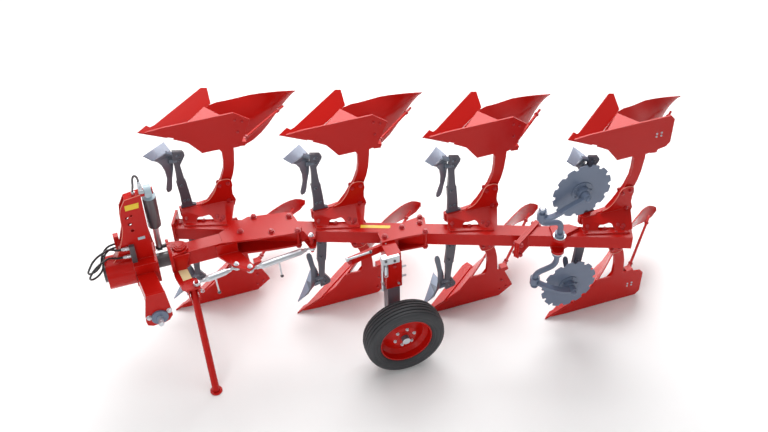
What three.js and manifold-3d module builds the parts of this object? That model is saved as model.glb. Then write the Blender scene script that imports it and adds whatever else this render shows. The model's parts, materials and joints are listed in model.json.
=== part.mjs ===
// Mounted four-furrow reversible mouldboard plough, standing as it parks.
// Millimetres. +X points rearward, +Y to the plough's right, +Z up.
// The body datum is the share tip of the first body, and height 0 of the frame is the turnover axis.

import * as THREE from "three";
import { ConvexGeometry } from "three/addons/geometries/ConvexGeometry.js";
import { mergeVertices } from "three/addons/utils/BufferGeometryUtils.js";
import Module from "manifold-3d";

const wasm = await Module();
wasm.setup();
const { Manifold, Mesh: SolidMesh } = wasm;

// ---- driving dimensions -------------------------------------------------

const bodyCount = 4;
const bodySpacing = 850; // from one share tip to the next, along X
const furrowWidth = 342; // sideways step from one body to the next
const tipHeight = 837; // from the turnover axis down to the share tips
const beamSize = 100; // square beam
const beamStart = 135; // along the beam from the body datum
const beamEnd = 3258;
const flangeAt = 2542; // bolted joint between main beam and extension
const flangeAngle = THREE.MathUtils.degToRad(56.6);
const flangeThickness = 18;
const axisY = -320; // turnover axis, to the left of the first body
const fit = 0.3; // gap between pieces that touch or turn on each other

const legThickness = 30;
const landsideThickness = 10;
const boardThickness = 8;
const shareThickness = 10;
const bracketThickness = 12;
const bracketPlate = 14; // plates above and below the beam

const towerHalfWidth = 33; // the two plates hold the top link between them
const towerPlate = 11;
const towerRear = -76;
const housingHalfWidth = 100;
const housingFront = -222;
const housingTop = 85;
const shaftRadius = 50;
const bearingRadius = 112;
const bearingFront = -400;
const hitchHalfSpan = 320;
const hitchPinRadius = 18;
const hitchPinX = -135;
const hitchPinZ = -178;
const hitchDiscRadius = 57;
const hoseRadius = 7;

const flangeFront = 18; // front face of the turnover head's round flange
const pivotX = 95; // vertical pin of the front link
const pivotRadius = 22;
const linkHalfHeight = 60;
const linkWidth = 110;

const cylinderX = -27;
const cylinderTopZ = 607;
const cylinderPinRadius = 16;
const cylinderEyeRadius = 42;
const crankRadius = 110;
const crankRise = 20;
const barrelRadius = 44;
const barrelStart = 48; // from the top pin
const barrelLength = 296;
const rodRadius = 20;
const rodInside = 64; // length of rod inside the barrel at rest

const rearLug = new THREE.Vector3(968, -488, -66);

const wheelX = 1432;
const wheelY = -1050;
const wheelLegX = 1437;
const wheelLegY = -800;
const tyreRadius = 287;
const tyreWidth = 165;
const rimRadius = 188;
const axleRadius = 28;
const legTube = 88;

const discRadius = 210;
const discX = 2658;
const coulterY = -1095;
const discZ = 434;
const coulterBendX = 2535;
const coulterFrontX = 2385;
const coulterFrontZ = 300;
const stalkRadius = 20;
const clampThickness = 20;

const standX = 120;
const standTop = new THREE.Vector3(standX, -532, -160);
const standFootY = -850;
const standRadius = 25;

// ---- finishes -------------------------------------------------------------

function paint(color, roughness = 0.35, metalness = 0.0) {
  return new THREE.MeshStandardMaterial({ color, roughness, metalness });
}

const redPaint = () => paint(0xc8161a);
const greyPaint = () => paint(0x5c6878, 0.45);
const zincPlate = () => paint(0xc4ccd2, 0.3, 0.8);
const blackPaint = () => paint(0x2a2a2e, 0.5);
const rubber = () => paint(0x2b2c2f, 0.8);

// ---- solids ---------------------------------------------------------------

const plough = new THREE.Group();

// A closed three.js geometry becomes a solid, and a mirrored one keeps its faces outward.
function solid(geometry, matrix = new THREE.Matrix4()) {
  const bare = geometry.clone();
  bare.deleteAttribute("normal");
  bare.deleteAttribute("uv");
  const merged = mergeVertices(bare, 1e-4);
  merged.applyMatrix4(matrix);
  const triVerts = Uint32Array.from(merged.index.array);
  if (matrix.determinant() < 0) {
    for (let i = 0; i < triVerts.length; i += 3) {
      [triVerts[i], triVerts[i + 1]] = [triVerts[i + 1], triVerts[i]];
    }
  }
  const vertProperties = Float32Array.from(merged.attributes.position.array);
  return new Manifold(new SolidMesh({ numProp: 3, vertProperties, triVerts }));
}

function join(...solids) {
  return solids.reduce((all, next) => all.add(next));
}

function cut(base, ...tools) {
  return tools.reduce((left, tool) => left.subtract(tool), base);
}

function addPiece(name, shape, material) {
  const mesh = shape.getMesh();
  const geometry = new THREE.BufferGeometry();
  const positions = Float32Array.from(mesh.vertProperties);
  geometry.setAttribute("position", new THREE.BufferAttribute(positions, 3));
  geometry.setIndex(Array.from(mesh.triVerts));
  geometry.computeVertexNormals();
  const piece = new THREE.Mesh(geometry, material);
  piece.name = name;
  plough.add(piece);
  return piece;
}

function move(x, y, z) {
  return new THREE.Matrix4().makeTranslation(x, y, z);
}

function box(x0, x1, y0, y1, z0, z1, frame = new THREE.Matrix4()) {
  const shape = new THREE.BoxGeometry(x1 - x0, y1 - y0, z1 - z0);
  const centre = move((x0 + x1) / 2, (y0 + y1) / 2, (z0 + z1) / 2);
  return solid(shape, frame.clone().multiply(centre));
}

function outline(points) {
  return new THREE.Shape(points.map(([a, b]) => new THREE.Vector2(a, b)));
}

function circle(radius, x = 0, y = 0) {
  const shape = new THREE.Path();
  shape.absarc(x, y, radius, 0, 2 * Math.PI);
  return shape;
}

// A flat plate whose outline lies in the XZ plane, from y0 to y1.
function plateXZ(shape, y0, y1, frame = new THREE.Matrix4(), curveSegments = 8) {
  const options = { depth: y1 - y0, bevelEnabled: false, curveSegments };
  const geometry = new THREE.ExtrudeGeometry(shape, options);
  const stand = new THREE.Matrix4().makeRotationX(Math.PI / 2);
  return solid(geometry, frame.clone().multiply(move(0, y1, 0)).multiply(stand));
}

// A flat plate whose outline lies in the XY plane, from z0 to z1.
function plateXY(shape, z0, z1, frame = new THREE.Matrix4(), curveSegments = 8) {
  const options = { depth: z1 - z0, bevelEnabled: false, curveSegments };
  const geometry = new THREE.ExtrudeGeometry(shape, options);
  return solid(geometry, frame.clone().multiply(move(0, 0, z0)));
}

// A flat plate through three or more corners in space, from one offset along its normal to another.
function plateThrough(corners, from, to, frame = new THREE.Matrix4()) {
  const [first, second] = corners;
  const last = corners[corners.length - 1];
  const along = second.clone().sub(first).normalize();
  const normal = along.clone().cross(last.clone().sub(first)).normalize();
  const across = normal.clone().cross(along);
  const flat = corners.map((corner) => {
    const offset = corner.clone().sub(first);
    return [offset.dot(along), offset.dot(across)];
  });
  const options = { depth: to - from, bevelEnabled: false };
  const geometry = new THREE.ExtrudeGeometry(outline(flat), options);
  const start = first.clone().addScaledVector(normal, from);
  const basis = new THREE.Matrix4().makeBasis(along, across, normal).setPosition(start);
  return solid(geometry, frame.clone().multiply(basis));
}

function turnTo(direction) {
  const up = new THREE.Vector3(0, 1, 0);
  const turn = new THREE.Quaternion().setFromUnitVectors(up, direction.clone().normalize());
  return new THREE.Matrix4().makeRotationFromQuaternion(turn);
}

// A round bar between two points, which may taper.
function bar(from, to, radius, sides = 20, endRadius = radius) {
  const direction = to.clone().sub(from);
  const geometry = new THREE.CylinderGeometry(endRadius, radius, direction.length(), sides);
  const middle = from.clone().add(to).multiplyScalar(0.5);
  return solid(geometry, move(middle.x, middle.y, middle.z).multiply(turnTo(direction)));
}

function barX(x0, x1, y, z, radius, sides = 24) {
  return bar(new THREE.Vector3(x0, y, z), new THREE.Vector3(x1, y, z), radius, sides);
}

function barY(y0, y1, x, z, radius, sides = 24) {
  return bar(new THREE.Vector3(x, y0, z), new THREE.Vector3(x, y1, z), radius, sides);
}

function barZ(z0, z1, x, y, radius, sides = 24) {
  return bar(new THREE.Vector3(x, y, z0), new THREE.Vector3(x, y, z1), radius, sides);
}

// A bar of a given section that follows a smooth curve through the points.
function bentBar(points, section, steps) {
  const extrudePath = new THREE.CatmullRomCurve3(points, false, "centripetal");
  return solid(new THREE.ExtrudeGeometry(section, { steps, extrudePath, bevelEnabled: false }));
}

function roundSection(radius, sides) {
  const corners = Array.from({ length: sides }, (_, i) => {
    const angle = (2 * Math.PI * i) / sides;
    return [radius * Math.cos(angle), radius * Math.sin(angle)];
  });
  return outline(corners);
}

// A profile of radius and axial place, turned about an axis along Y.
function turned(profile, x, y, z, segments = 32) {
  const points = profile.map(([radius, place]) => new THREE.Vector2(radius, place));
  points.push(points[0].clone());
  return solid(new THREE.LatheGeometry(points, segments), move(x, y, z));
}

// ---- frames of the beam and the bodies -----------------------------------------

const beamAngle = Math.atan2(furrowWidth, bodySpacing);
const beamFrame = new THREE.Matrix4().makeRotationZ(-beamAngle);
const half = beamSize / 2;

function bodyFrame(index, side) {
  const place = move(index * bodySpacing, -index * furrowWidth, -side * tipHeight);
  return place.multiply(new THREE.Matrix4().makeScale(1, 1, side));
}

// ---- plough body ---------------------------------------------------------------

// Edges of the mouldboard, each from the shin to the tail, as x, y and height above the sole.
const shareSlope = THREE.MathUtils.degToRad(38.3);
const cuttingAngle = Math.atan2(385, 480);
const shareBand = 145;
const cuttingLength = 615;
const heelLength = 583;

const boardLower = curveThrough([
  [184, 2, 94], [355, 139, 93], [527, 277, 94], [612, 310, 115], [710, 368, 155],
  [830, 438, 200], [960, 470, 232], [1080, 478, 254], [1168, 506, 292],
]);
const boardUpper = curveThrough([
  [390, 2, 277], [485, 66, 326], [590, 142, 394], [700, 218, 452], [815, 300, 463],
  [925, 388, 437], [1022, 472, 394], [1112, 526, 348], [1170, 532, 306],
]);
const boardShin = curveThrough([[184, 2, 94], [250, 2, 132], [311, 2, 169], [352, 2, 223], [390, 2, 277]]);
const boardSag = 26;
const boardColumns = 13;
const boardRows = 5;

function curveThrough(points) {
  const corners = points.map(([x, y, z]) => new THREE.Vector3(x, y, z));
  return new THREE.CatmullRomCurve3(corners, false, "centripetal");
}

// A point of the board's working face, where u runs to the tail and v runs up.
function boardPoint(u, v) {
  const low = boardLower.getPoint(u);
  const high = boardUpper.getPoint(u);
  const point = low.clone().lerp(high, v);
  const straight = boardShin.getPoint(0).lerp(boardShin.getPoint(1), v);
  const shinShift = boardShin.getPoint(v).sub(straight).multiplyScalar((1 - u) ** 3);
  const sag = boardSag * 4 * v * (1 - v) * Math.min(1, 4 * u * (1 - u));
  return point.add(shinShift).add(new THREE.Vector3(sag * 0.62, -sag * 0.78, 0));
}

// A face moved along its normal, which points to the side that the soil is thrown to.
function faceOffset(face, u, v, distance) {
  const step = 0.01;
  const uLow = Math.max(0, u - step);
  const vLow = Math.max(0, v - step);
  const alongU = face(Math.min(1, u + step), v).sub(face(uLow, v));
  const alongV = face(u, Math.min(1, v + step)).sub(face(u, vLow));
  const normal = alongV.cross(alongU).normalize();
  return face(u, v).addScaledVector(normal, distance);
}

// A closed shell between two offsets of a curved face.
function shell(face, back, front, columns, rows) {
  const positions = [];
  for (const distance of [front, back]) {
    for (let i = 0; i <= columns; i += 1) {
      for (let j = 0; j <= rows; j += 1) {
        const point = faceOffset(face, i / columns, j / rows, distance);
        positions.push(point.x, point.y, point.z);
      }
    }
  }
  const width = rows + 1;
  const layer = (columns + 1) * width;
  const at = (side, i, j) => side * layer + i * width + j;
  const index = [];
  const quad = (a, b, c, d) => index.push(a, b, c, a, c, d);
  for (let i = 0; i < columns; i += 1) {
    for (let j = 0; j < rows; j += 1) {
      quad(at(0, i, j), at(0, i, j + 1), at(0, i + 1, j + 1), at(0, i + 1, j));
      quad(at(1, i, j), at(1, i + 1, j), at(1, i + 1, j + 1), at(1, i, j + 1));
    }
    quad(at(0, i, 0), at(0, i + 1, 0), at(1, i + 1, 0), at(1, i, 0));
    quad(at(0, i, rows), at(1, i, rows), at(1, i + 1, rows), at(0, i + 1, rows));
  }
  for (let j = 0; j < rows; j += 1) {
    quad(at(0, 0, j), at(1, 0, j), at(1, 0, j + 1), at(0, 0, j + 1));
    quad(at(0, columns, j), at(0, columns, j + 1), at(1, columns, j + 1), at(1, columns, j));
  }
  const geometry = new THREE.BufferGeometry();
  geometry.setAttribute("position", new THREE.Float32BufferAttribute(positions, 3));
  geometry.setIndex(index);
  return geometry;
}

// The share's frame has its first axis on the cutting edge and its second up the slope.
function shareFrame() {
  const along = new THREE.Vector3(Math.cos(cuttingAngle), Math.sin(cuttingAngle), 0);
  const level = new THREE.Vector3(Math.sin(cuttingAngle), -Math.cos(cuttingAngle), 0);
  const up = level.multiplyScalar(Math.cos(shareSlope)).add(
    new THREE.Vector3(0, 0, Math.sin(shareSlope)),
  );
  const normal = along.clone().cross(up);
  return new THREE.Matrix4().makeBasis(along, up, normal);
}

// The share lies between two offsets of its plane; the point leads its cutting edge.
function sharePlate(back, front, widen = 0) {
  const corners = [
    [-widen, -widen], [85, -3 - widen], [98, 22 - widen], [133, 28 - widen],
    [cuttingLength - 4 + widen, 20 - widen], [cuttingLength + 35 + widen, 46],
    [heelLength + widen, shareBand + widen], [142 - widen, shareBand + widen],
  ];
  const geometry = new THREE.ExtrudeGeometry(outline(corners), {
    depth: Math.abs(back - front), bevelEnabled: false,
  });
  const frame = shareFrame();
  return solid(geometry, frame.multiply(move(0, 0, Math.min(back, front))));
}

const landsideOutline = [
  [46, 15], [162, 6], [629, 6], [731, 87], [723, 111], [655, 263], [583, 287], [497, 276],
  [386, 277], [346, 223], [305, 169], [244, 132], [184, 99], [120, 60], [50, 24],
];
const longLandside = [
  [46, 15], [162, 6], [742, 6], [772, 40], [772, 228], [745, 258], [655, 275], [583, 287],
  [497, 276], [386, 277], [346, 223], [305, 169], [244, 132], [184, 99], [120, 60], [50, 24],
];
const legFoot = 708; // underside of the leg's mounting foot, above the sole
const legOutline = [
  [480, 250], [600, 250], [598, 320], [588, 425], [572, 500], [545, 575], [505, 650], [440, 735],
  [400, 772], [170, 776], [168, legFoot], [310, legFoot], [368, 700], [416, 640], [482, 530], [510, 450],
  [517, 380], [516, 300],
];
const frogOutline = [[250, 70], [600, 70], [600, 255], [470, 255], [380, 190]];

function bodySolids(last) {
  const ground = box(-400, 1600, -400, 900, -300, 0);
  const share = cut(sharePlate(-shareThickness, 0), ground, box(-400, 1600, -400, fit, -300, 400));
  const boardRaw = solid(shell(boardPoint, -boardThickness, 0, boardColumns, boardRows));
  const behindShare = sharePlate(-shareThickness - fit - 60, 40, fit);
  const board = cut(boardRaw, behindShare, box(-400, 1600, -400, landsideThickness + fit, -300, 900));
  const boardClear = solid(shell(boardPoint, -boardThickness - fit, 260, boardColumns, boardRows));
  const plate = outline(last ? longLandside : landsideOutline);
  const landside = plateXZ(plate, 0, landsideThickness);
  const leg = plateXZ(outline(legOutline), 0, legThickness);
  const frog = plateXZ(outline(frogOutline), 0, legThickness);
  const base = plateXY(outline([[255, 5], [600, 5], [470, 215]]), 62, 74);
  const clamp = plateXZ(outline([[630, 240], [690, 262], [680, 292], [630, 285]]), 0, legThickness + 20);
  const stayFrom = new THREE.Vector3(662, 32, 270);
  const stayTo = new THREE.Vector3(1050, 425, 345);
  const stay = bar(stayFrom, stayTo, 9, 8);
  const behindBoard = cut(join(leg, frog, base, clamp, stay), boardClear);
  const keepBack = cut(join(landside, behindBoard), sharePlate(-260, fit, 30));
  return { share, board, leg: largestOf(keepBack) };
}

// A cut can leave slivers on the far side of the board; the piece itself is the largest.
function largestOf(shape) {
  const parts = shape.decompose();
  return parts.reduce((best, next) => (next.volume() > best.volume() ? next : best));
}

function placed(shape, frame) {
  const mesh = shape.getMesh();
  const geometry = new THREE.BufferGeometry();
  const positions = Float32Array.from(mesh.vertProperties);
  geometry.setAttribute("position", new THREE.BufferAttribute(positions, 3));
  geometry.setIndex(Array.from(mesh.triVerts));
  return solid(geometry, frame);
}

function addBodies() {
  const usual = bodySolids(false);
  const rearmost = bodySolids(true);
  for (let i = 0; i < bodyCount; i += 1) {
    const shapes = i === bodyCount - 1 ? rearmost : usual;
    for (const [level, side] of [["lower", 1], ["upper", -1]]) {
      const frame = bodyFrame(i, side);
      const tag = `${level}_${i + 1}`;
      addPiece(`leg_${tag}`, placed(shapes.leg, frame), redPaint());
      addPiece(`mouldboard_${tag}`, placed(shapes.board, frame), redPaint());
      addPiece(`share_${tag}`, placed(shapes.share, frame), redPaint());
      const aside = move(0, i === bodyCount - 1 ? lastSkimmerShift : 0, 0);
      addPiece(`skimmer_${tag}`, placed(skimmerSolid(), frame.clone().multiply(aside)), greyPaint());
    }
  }
}

// ---- skimmer -------------------------------------------------------------------

const skimmerLeft = curveThrough([
  [58, -48, 216], [89, -44, 239], [117, -22, 320], [126, 0, 421], [113, 16, 500], [107, 22, 541],
  [118, 26, 560],
]);
const skimmerRight = curveThrough([
  [184, 48, 236], [192, 46, 290], [182, 30, 360], [161, 15, 433], [153, 19, 490], [148, 25, 532],
  [136, 28, 556],
]);
const skimmerEdge = curveThrough([[2, -37, 167], [84, 66, 205], [160, 170, 248]]);
const skimmerSeam = curveThrough([[56, -48, 217], [122, 8, 229], [185, 50, 238]]);
const lastSkimmerShift = 25; // the rearmost one stands clear of the disc coulter
const skimmerOutline = [
  [182, legFoot - fit], [182, 702], [190, 692], [190, 600], [181, 482], [187, 476], [190, 395],
  [189, 300], [192, 216], [258, 234], [270, 252], [268, 270], [229, 336], [231, 372], [240, 470],
  [247, 482], [258, 600], [264, 690], [288, 702], [288, legFoot - fit],
];

// A face ruled between two edges.
function ruled(start, end) {
  return (u, v) => start.getPoint(u).lerp(end.getPoint(u), v);
}

function skimmerSolid() {
  const stalk = plateXZ(outline(skimmerOutline), 3, 27);
  const share = solid(shell(ruled(skimmerSeam, skimmerEdge), -4, 4, 3, 1));
  const board = solid(shell(ruled(skimmerLeft, skimmerRight), -3, 3, 8, 1));
  const holder = bar(new THREE.Vector3(212, 15, 300), new THREE.Vector3(160, 16, 300), 16, 8);
  const lowHolder = bar(new THREE.Vector3(225, 15, 262), new THREE.Vector3(150, 30, 232), 16, 8);
  return join(stalk, share, board, holder, lowHolder);
}

// ---- beam ------------------------------------------------------------------------

const footLine = [[169, -84], [450, -175]]; // where the bracket stands on the beam
const gussetOutline = [
  [176, 64], [176, 129], [284, 129], [304, 116], [330, 142], [370, 156], [402, 188], [430, 233],
  [450, 287], [466, 303], [530, 303], [548, 286], [553, 246], [546, 212], [545, 165], [562, 108],
  [548, 64],
];

// A solid slab between two flat four-cornered faces.
function slab(corners, shift, frame) {
  const near = corners.map(([x, y, z]) => new THREE.Vector3(x, y, z));
  const far = near.map((corner) => corner.clone().add(shift));
  return solid(new ConvexGeometry([...near, ...far]), frame);
}

// The bracket leans from the beam's top to the plane of the leg, with an arched window at its foot.
function legBracket(index, side) {
  const station = new THREE.Matrix4().makeTranslation(index * bodySpacing, -index * furrowWidth, 0);
  const frame = station.multiply(new THREE.Matrix4().makeScale(1, 1, side));
  const [[x0, y0], [x1, y1]] = footLine;
  const back = new THREE.Vector3(0, bracketThickness, 0);
  const lean = slab([
    [x0, y0, half - 4], [x1, y1, half - 4], [x1 + 30, -fit - bracketThickness, 116],
    [176, -fit - bracketThickness, 129],
  ], back, frame);
  const sideWall = slab([
    [x1, y1, half - 4], [x1 + 40, y1 + 10, half - 4], [552, -fit - bracketThickness, 100],
    [x1 + 30, -fit - bracketThickness, 116],
  ], back, frame);
  const arch = new THREE.Shape();
  arch.moveTo(262, half - 10);
  arch.lineTo(374, half - 10);
  arch.lineTo(374, half + 12);
  arch.absarc(346, half + 12, 28, 0, Math.PI / 2);
  arch.lineTo(290, half + 40);
  arch.absarc(290, half + 12, 28, Math.PI / 2, Math.PI);
  const window = plateXZ(arch, -300, -30, frame);
  const foot = plateXY(
    outline([[x0, y0 - 16], [x1 + 4, y1 - 16], [x1 + 4, y1 + 46], [x0, y0 + 46]]), half - 2, half + 10, frame,
  );
  const gusset = plateXZ(outline(gussetOutline), -fit - bracketThickness, -fit, frame);
  const beamClear = box(0, beamEnd * 2, -half, half, -half, half, beamFrame);
  return join(cut(join(lean, sideWall), window), foot, gusset).subtract(beamClear);
}

// The bolted joint crosses the beam at an angle; its frame's second axis points forward.
function flangeFrame() {
  const place = beamFrame.clone().multiply(move(flangeAt, -40, 0));
  return place.multiply(new THREE.Matrix4().makeRotationZ(flangeAngle));
}

function flangePlate(offset, thickness) {
  return box(-125, 150, offset, offset + thickness, -66, 66, flangeFrame());
}

function addBeams() {
  const tube = box(beamStart, beamEnd, -half, half, -half, half, beamFrame);
  const reach = beamEnd;
  const rearward = box(-reach, reach, -reach, 0, -reach, reach, flangeFrame());
  const forward = box(-reach, reach, -fit, reach, -reach, reach, flangeFrame());
  let front = join(cut(tube, rearward), flangePlate(0, flangeThickness));
  let rear = join(cut(tube, forward), flangePlate(-fit - flangeThickness, flangeThickness));
  for (let i = 0; i < bodyCount - 1; i += 1) {
    front = join(front, legBracket(i, 1), legBracket(i, -1));
  }
  rear = join(rear, legBracket(bodyCount - 1, 1), legBracket(bodyCount - 1, -1));
  const edge = half + 25;
  const endPlate = box(beamStart - 14, beamStart + 2, -edge, edge, -edge - 10, edge + 35, beamFrame);
  const lugShape = outline([[925, -405], [1015, -445], [990, -515], [950, -515]]);
  const lug = join(
    plateXY(lugShape, -half, -half + 14), plateXY(lugShape, half - 14, half),
    barZ(-100, half + 8, rearLug.x, rearLug.y, 12, 12),
  );
  front = join(front, endPlate, lug);
  rear = join(rear, coulterClamp());
  addPiece("main_beam", front, redPaint());
  addPiece("beam_extension", rear, redPaint());
}

// Flat plates on the beam's top and bottom reach forward and carry the two coulter stalks.
function coulterClamp() {
  const bend = new THREE.Shape();
  bend.moveTo(coulterBendX - 44, coulterY);
  bend.absarc(coulterBendX, coulterY, 44, Math.PI, 2 * Math.PI);
  bend.lineTo(2700, -1062);
  bend.lineTo(2650, -1010);
  bend.lineTo(2520, -975);
  const plates = [half - 1, -half - clampThickness].map((z) => plateXY(bend, z, z + clampThickness + 1));
  return join(...plates);
}

// ---- turnover head and front link ---------------------------------------------------

function addTurnoverHead() {
  const shaft = barX(-420, 20, axisY, 0, shaftRadius, 24);
  const collar = barX(-420, bearingFront - fit, axisY, 0, 62, 24);
  const flange = barX(flangeFront, flangeFront + 20, axisY, 0, 104, 28);
  const crank = barX(flangeFront, flangeFront + 20, axisY + crankRadius, crankRise, 40, 20);
  const earShape = new THREE.Shape();
  earShape.moveTo(36, axisY - 75);
  earShape.lineTo(pivotX, axisY - 60);
  earShape.absarc(pivotX, axisY, 60, -Math.PI / 2, Math.PI / 2);
  earShape.lineTo(36, axisY + 75);
  const top = plateXY(earShape, linkHalfHeight + 1, linkHalfHeight + 17);
  const bottom = plateXY(earShape, -linkHalfHeight - 17, -linkHalfHeight - 1);
  const pin = barZ(-92, 92, pivotX, axisY, pivotRadius, 20);
  const boss = barZ(linkHalfHeight + 2, linkHalfHeight + 28, pivotX, axisY, 40, 24);
  const arm = plateXY(
    outline([[22, -300], [22, -440], [45, -565], [70, -592], [165, -592], [172, -560], [150, -520],
      [125, -470], [118, -380], [105, -300]]),
    -85, -70,
  );
  const web = plateXZ(outline([[36, -72], [36, linkHalfHeight + 3], [150, linkHalfHeight + 3], [112, -72]]),
    axisY - 74, axisY - 62);
  const cheeks = [-1, 1].map((side) => {
    const x = standX + side * (standRadius + 9);
    return box(x - 4, x + 4, -575, -484, -205, -84);
  });
  const backPlate = box(standX - 34, standX + 34, -492, -484, -205, -84);
  const eye = barZ(-74, -30, 148, -560, 12, 12);
  const hinge = barX(standX - 46, standX + 46, standTop.y, standTop.z, 8, 10);
  addPiece("turnover_shaft", join(shaft, collar), greyPaint());
  const head = cut(join(flange, crank, top, bottom, pin, boss, arm, web, ...cheeks, backPlate, eye, hinge),
    barX(-500, 20 + fit, axisY, 0, shaftRadius + 2 * fit, 24));
  addPiece("turnover_head", head, redPaint());
}

function addFrontLink() {
  const eye = cut(
    barZ(-linkHalfHeight, linkHalfHeight, pivotX, axisY, linkWidth / 2 - 4, 24),
    barZ(-100, 100, pivotX, axisY, pivotRadius + fit, 24),
  );
  const arm = plateXY(
    outline([[pivotX + 25, axisY - 50], [470, -362], [470, -262], [pivotX + 25, axisY + 50]]),
    -linkHalfHeight, linkHalfHeight,
  );
  const forkShape = outline([
    [380, -368], [680, -420], [900, -445], [928, -400], [900, -228], [860, -212], [600, -168],
    [440, -236], [380, -262],
  ]);
  const low = half + fit;
  const top = plateXY(forkShape, low, low + bracketPlate);
  const bottom = plateXY(forkShape, -low - bracketPlate, -low);
  const bolts = [[640, -188], [890, -428]].map(([x, y]) => (
    barZ(-low - 24, low + 24, x, y, 11, 10)
  ));
  const beamClear = box(0, 3000, -half - fit, half + fit, -half - fit, half + fit, beamFrame);
  const shape = join(cut(join(eye, arm), beamClear), top, bottom, ...bolts);
  addPiece("front_link", shape, redPaint());
}

function addLinkBracket() {
  const shape = outline([[330, -372], [480, -366], [548, -560], [500, -590], [412, -505]]);
  const plate = plateXY(shape, -48, -34);
  const cheek = plateXZ(outline([[332, -48], [478, -48], [478, 48], [332, 48]]), -378, -366);
  const pins = [[435, -500], [515, -555]].map(([x, y]) => barZ(-84, -40, x, y, 12, 12));
  addPiece("link_bracket", cut(join(plate, cheek, ...pins), linkClear()), redPaint());
}

function linkClear() {
  return plateXY(
    outline([[pivotX, axisY - 50 - fit], [470, -362 - fit], [600, -362 - fit], [600, -200], [pivotX, -200]]),
    -linkHalfHeight - fit, linkHalfHeight + fit,
  );
}

function turnbuckle(from, to) {
  const direction = to.clone().sub(from).normalize();
  const at = (distance) => from.clone().addScaledVector(direction, distance);
  const length = to.distanceTo(from);
  const rod = bar(at(14), at(length - 14), 9, 10);
  const body = bar(at(60), at(length - 60), 23, 16);
  const middle = at(length * 0.45);
  const handle = bar(middle, middle.clone().add(new THREE.Vector3(10, -10, -150)), 6, 8);
  const eyes = [from, to].map((centre) => barZ(centre.z - 11, centre.z + 11, centre.x, centre.y, 24, 16));
  const holes = [from, to].map((centre) => (
    barZ(centre.z - 40, centre.z + 40, centre.x, centre.y, 12 + 2 * fit, 12)
  ));
  return cut(join(rod, body, handle, ...eyes), ...holes);
}

function addTurnbuckles() {
  const frontEye = new THREE.Vector3(148, -560, -58);
  const front = turnbuckle(frontEye, new THREE.Vector3(435, -500, -62));
  const rear = turnbuckle(new THREE.Vector3(515, -555, -62), rearLug);
  addPiece("turnbuckle_front", front, zincPlate());
  addPiece("turnbuckle_rear", rear, zincPlate());
}

// ---- headstock ----------------------------------------------------------------------

const towerFront = [
  [-182, 600], [-221, 526], [-232, 451], [-237, 355], [-267, 247], [-322, 127], [-366, 76], [-392, 30],
];
const towerOutline = [[-392, 0], [towerRear, 0], [towerRear, 617], ...towerFront];
const topLinkHoles = [[-162, 464, 9], [-190, 451, 12], [-181, 395, 14], [-174, 339, 12]];

function addHeadstock() {
  const cheek = outline(towerOutline);
  for (const [x, z, radius] of topLinkHoles) {
    cheek.holes.push(circle(radius, x, z));
  }
  const near = axisY - towerHalfWidth;
  const far = axisY + towerHalfWidth;
  const left = plateXZ(cheek, near, near + towerPlate);
  const right = plateXZ(cheek, far - towerPlate, far);
  const stripBack = [...towerFront].reverse().map(([x, z]) => [x + 11, z - 4]);
  const open = 4; // the edge's first corners stay open in front of the top link's space
  const strip = [...towerFront.slice(open), ...stripBack.slice(0, towerFront.length - open)];
  const front = plateXZ(outline(strip), near + 2, far - 2);
  const cap = plateXZ(outline([[-182, 600], [towerRear, 617], [towerRear, 605], [-184, 588]]),
    near + 2, far - 2);
  const rear = box(towerRear - 11, towerRear, near + 2, far - 2, 560, 612);
  const bearing = barX(bearingFront, housingFront + 2, axisY, 0, bearingRadius, 32);
  const housing = box(housingFront, -62, axisY - housingHalfWidth, axisY + housingHalfWidth, -95, housingTop);
  const boss = barX(towerRear - 8, cylinderX - 24, axisY, cylinderTopZ, 28, 20);
  const pin = barX(towerRear - 8, cylinderX + 32, axisY, cylinderTopZ, cylinderPinRadius, 16);
  const washer = barX(cylinderX + 24, cylinderX + 32, axisY, cylinderTopZ, 24, 16);
  const block = box(-222, -188, near - 26, near + 2, 78, 228);
  const couplings = [210, 142].map((z) => barX(-248 + fit, -216, near - 13, z, 11, 16));
  const post = box(-305, -272, far - 2, far + 38, 145, 265);
  const valve = box(-84, -56, axisY - 15, axisY + 15, cylinderTopZ - 2, cylinderTopZ + 85);
  const shape = join(
    left, right, front, cap, rear, bearing, housing, boss, pin, washer, block, ...couplings, post, valve,
  );
  const bore = barX(-420, -50, axisY, 0, shaftRadius + 2 * fit, 24);
  addPiece("headstock_tower", cut(shape, bore), redPaint());
}

function addHitch() {
  const centre = box(-205, -105, axisY - 200, axisY + 200, -140, -60);
  const parts = [centre];
  for (const side of [-1, 1]) {
    const near = axisY + side * (housingHalfWidth + 1);
    const far = axisY + side * hitchHalfSpan;
    const arm = plateXY(outline([[-217, near], [-98, near], [-67, far], [-190, far]]), -110, 8);
    parts.push(arm);
    const plateFar = far + side * 16;
    const cheek = outline([
      [-194, 28], [-68, 28], [-50, -150], [-50, -195], [-75, -232], [-110, -246], [-190, -252],
      [-222, -235], [-228, -200], [-224, -147],
    ]);
    parts.push(plateXZ(cheek, Math.min(far - side, plateFar), Math.max(far - side, plateFar)));
    const discFar = plateFar + side * 14;
    parts.push(barBetween(far, discFar, hitchDiscRadius, 28));
    parts.push(barBetween(far, discFar + side * 62, hitchPinRadius, 20));
  }
  const clear = housingHalfWidth + fit;
  const housingClear = box(
    housingFront - fit, -62 + fit, axisY - clear, axisY + clear, -95 - fit, housingTop,
  );
  const bearingClear = barX(-420, housingFront, axisY, 0, bearingRadius + 1, 32);
  addPiece("hitch_beam", cut(join(...parts), housingClear, bearingClear), redPaint());
}

function barBetween(y0, y1, radius, sides) {
  return barY(Math.min(y0, y1), Math.max(y0, y1), hitchPinX, hitchPinZ, radius, sides);
}

// ---- hydraulic hoses ------------------------------------------------------------

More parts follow.
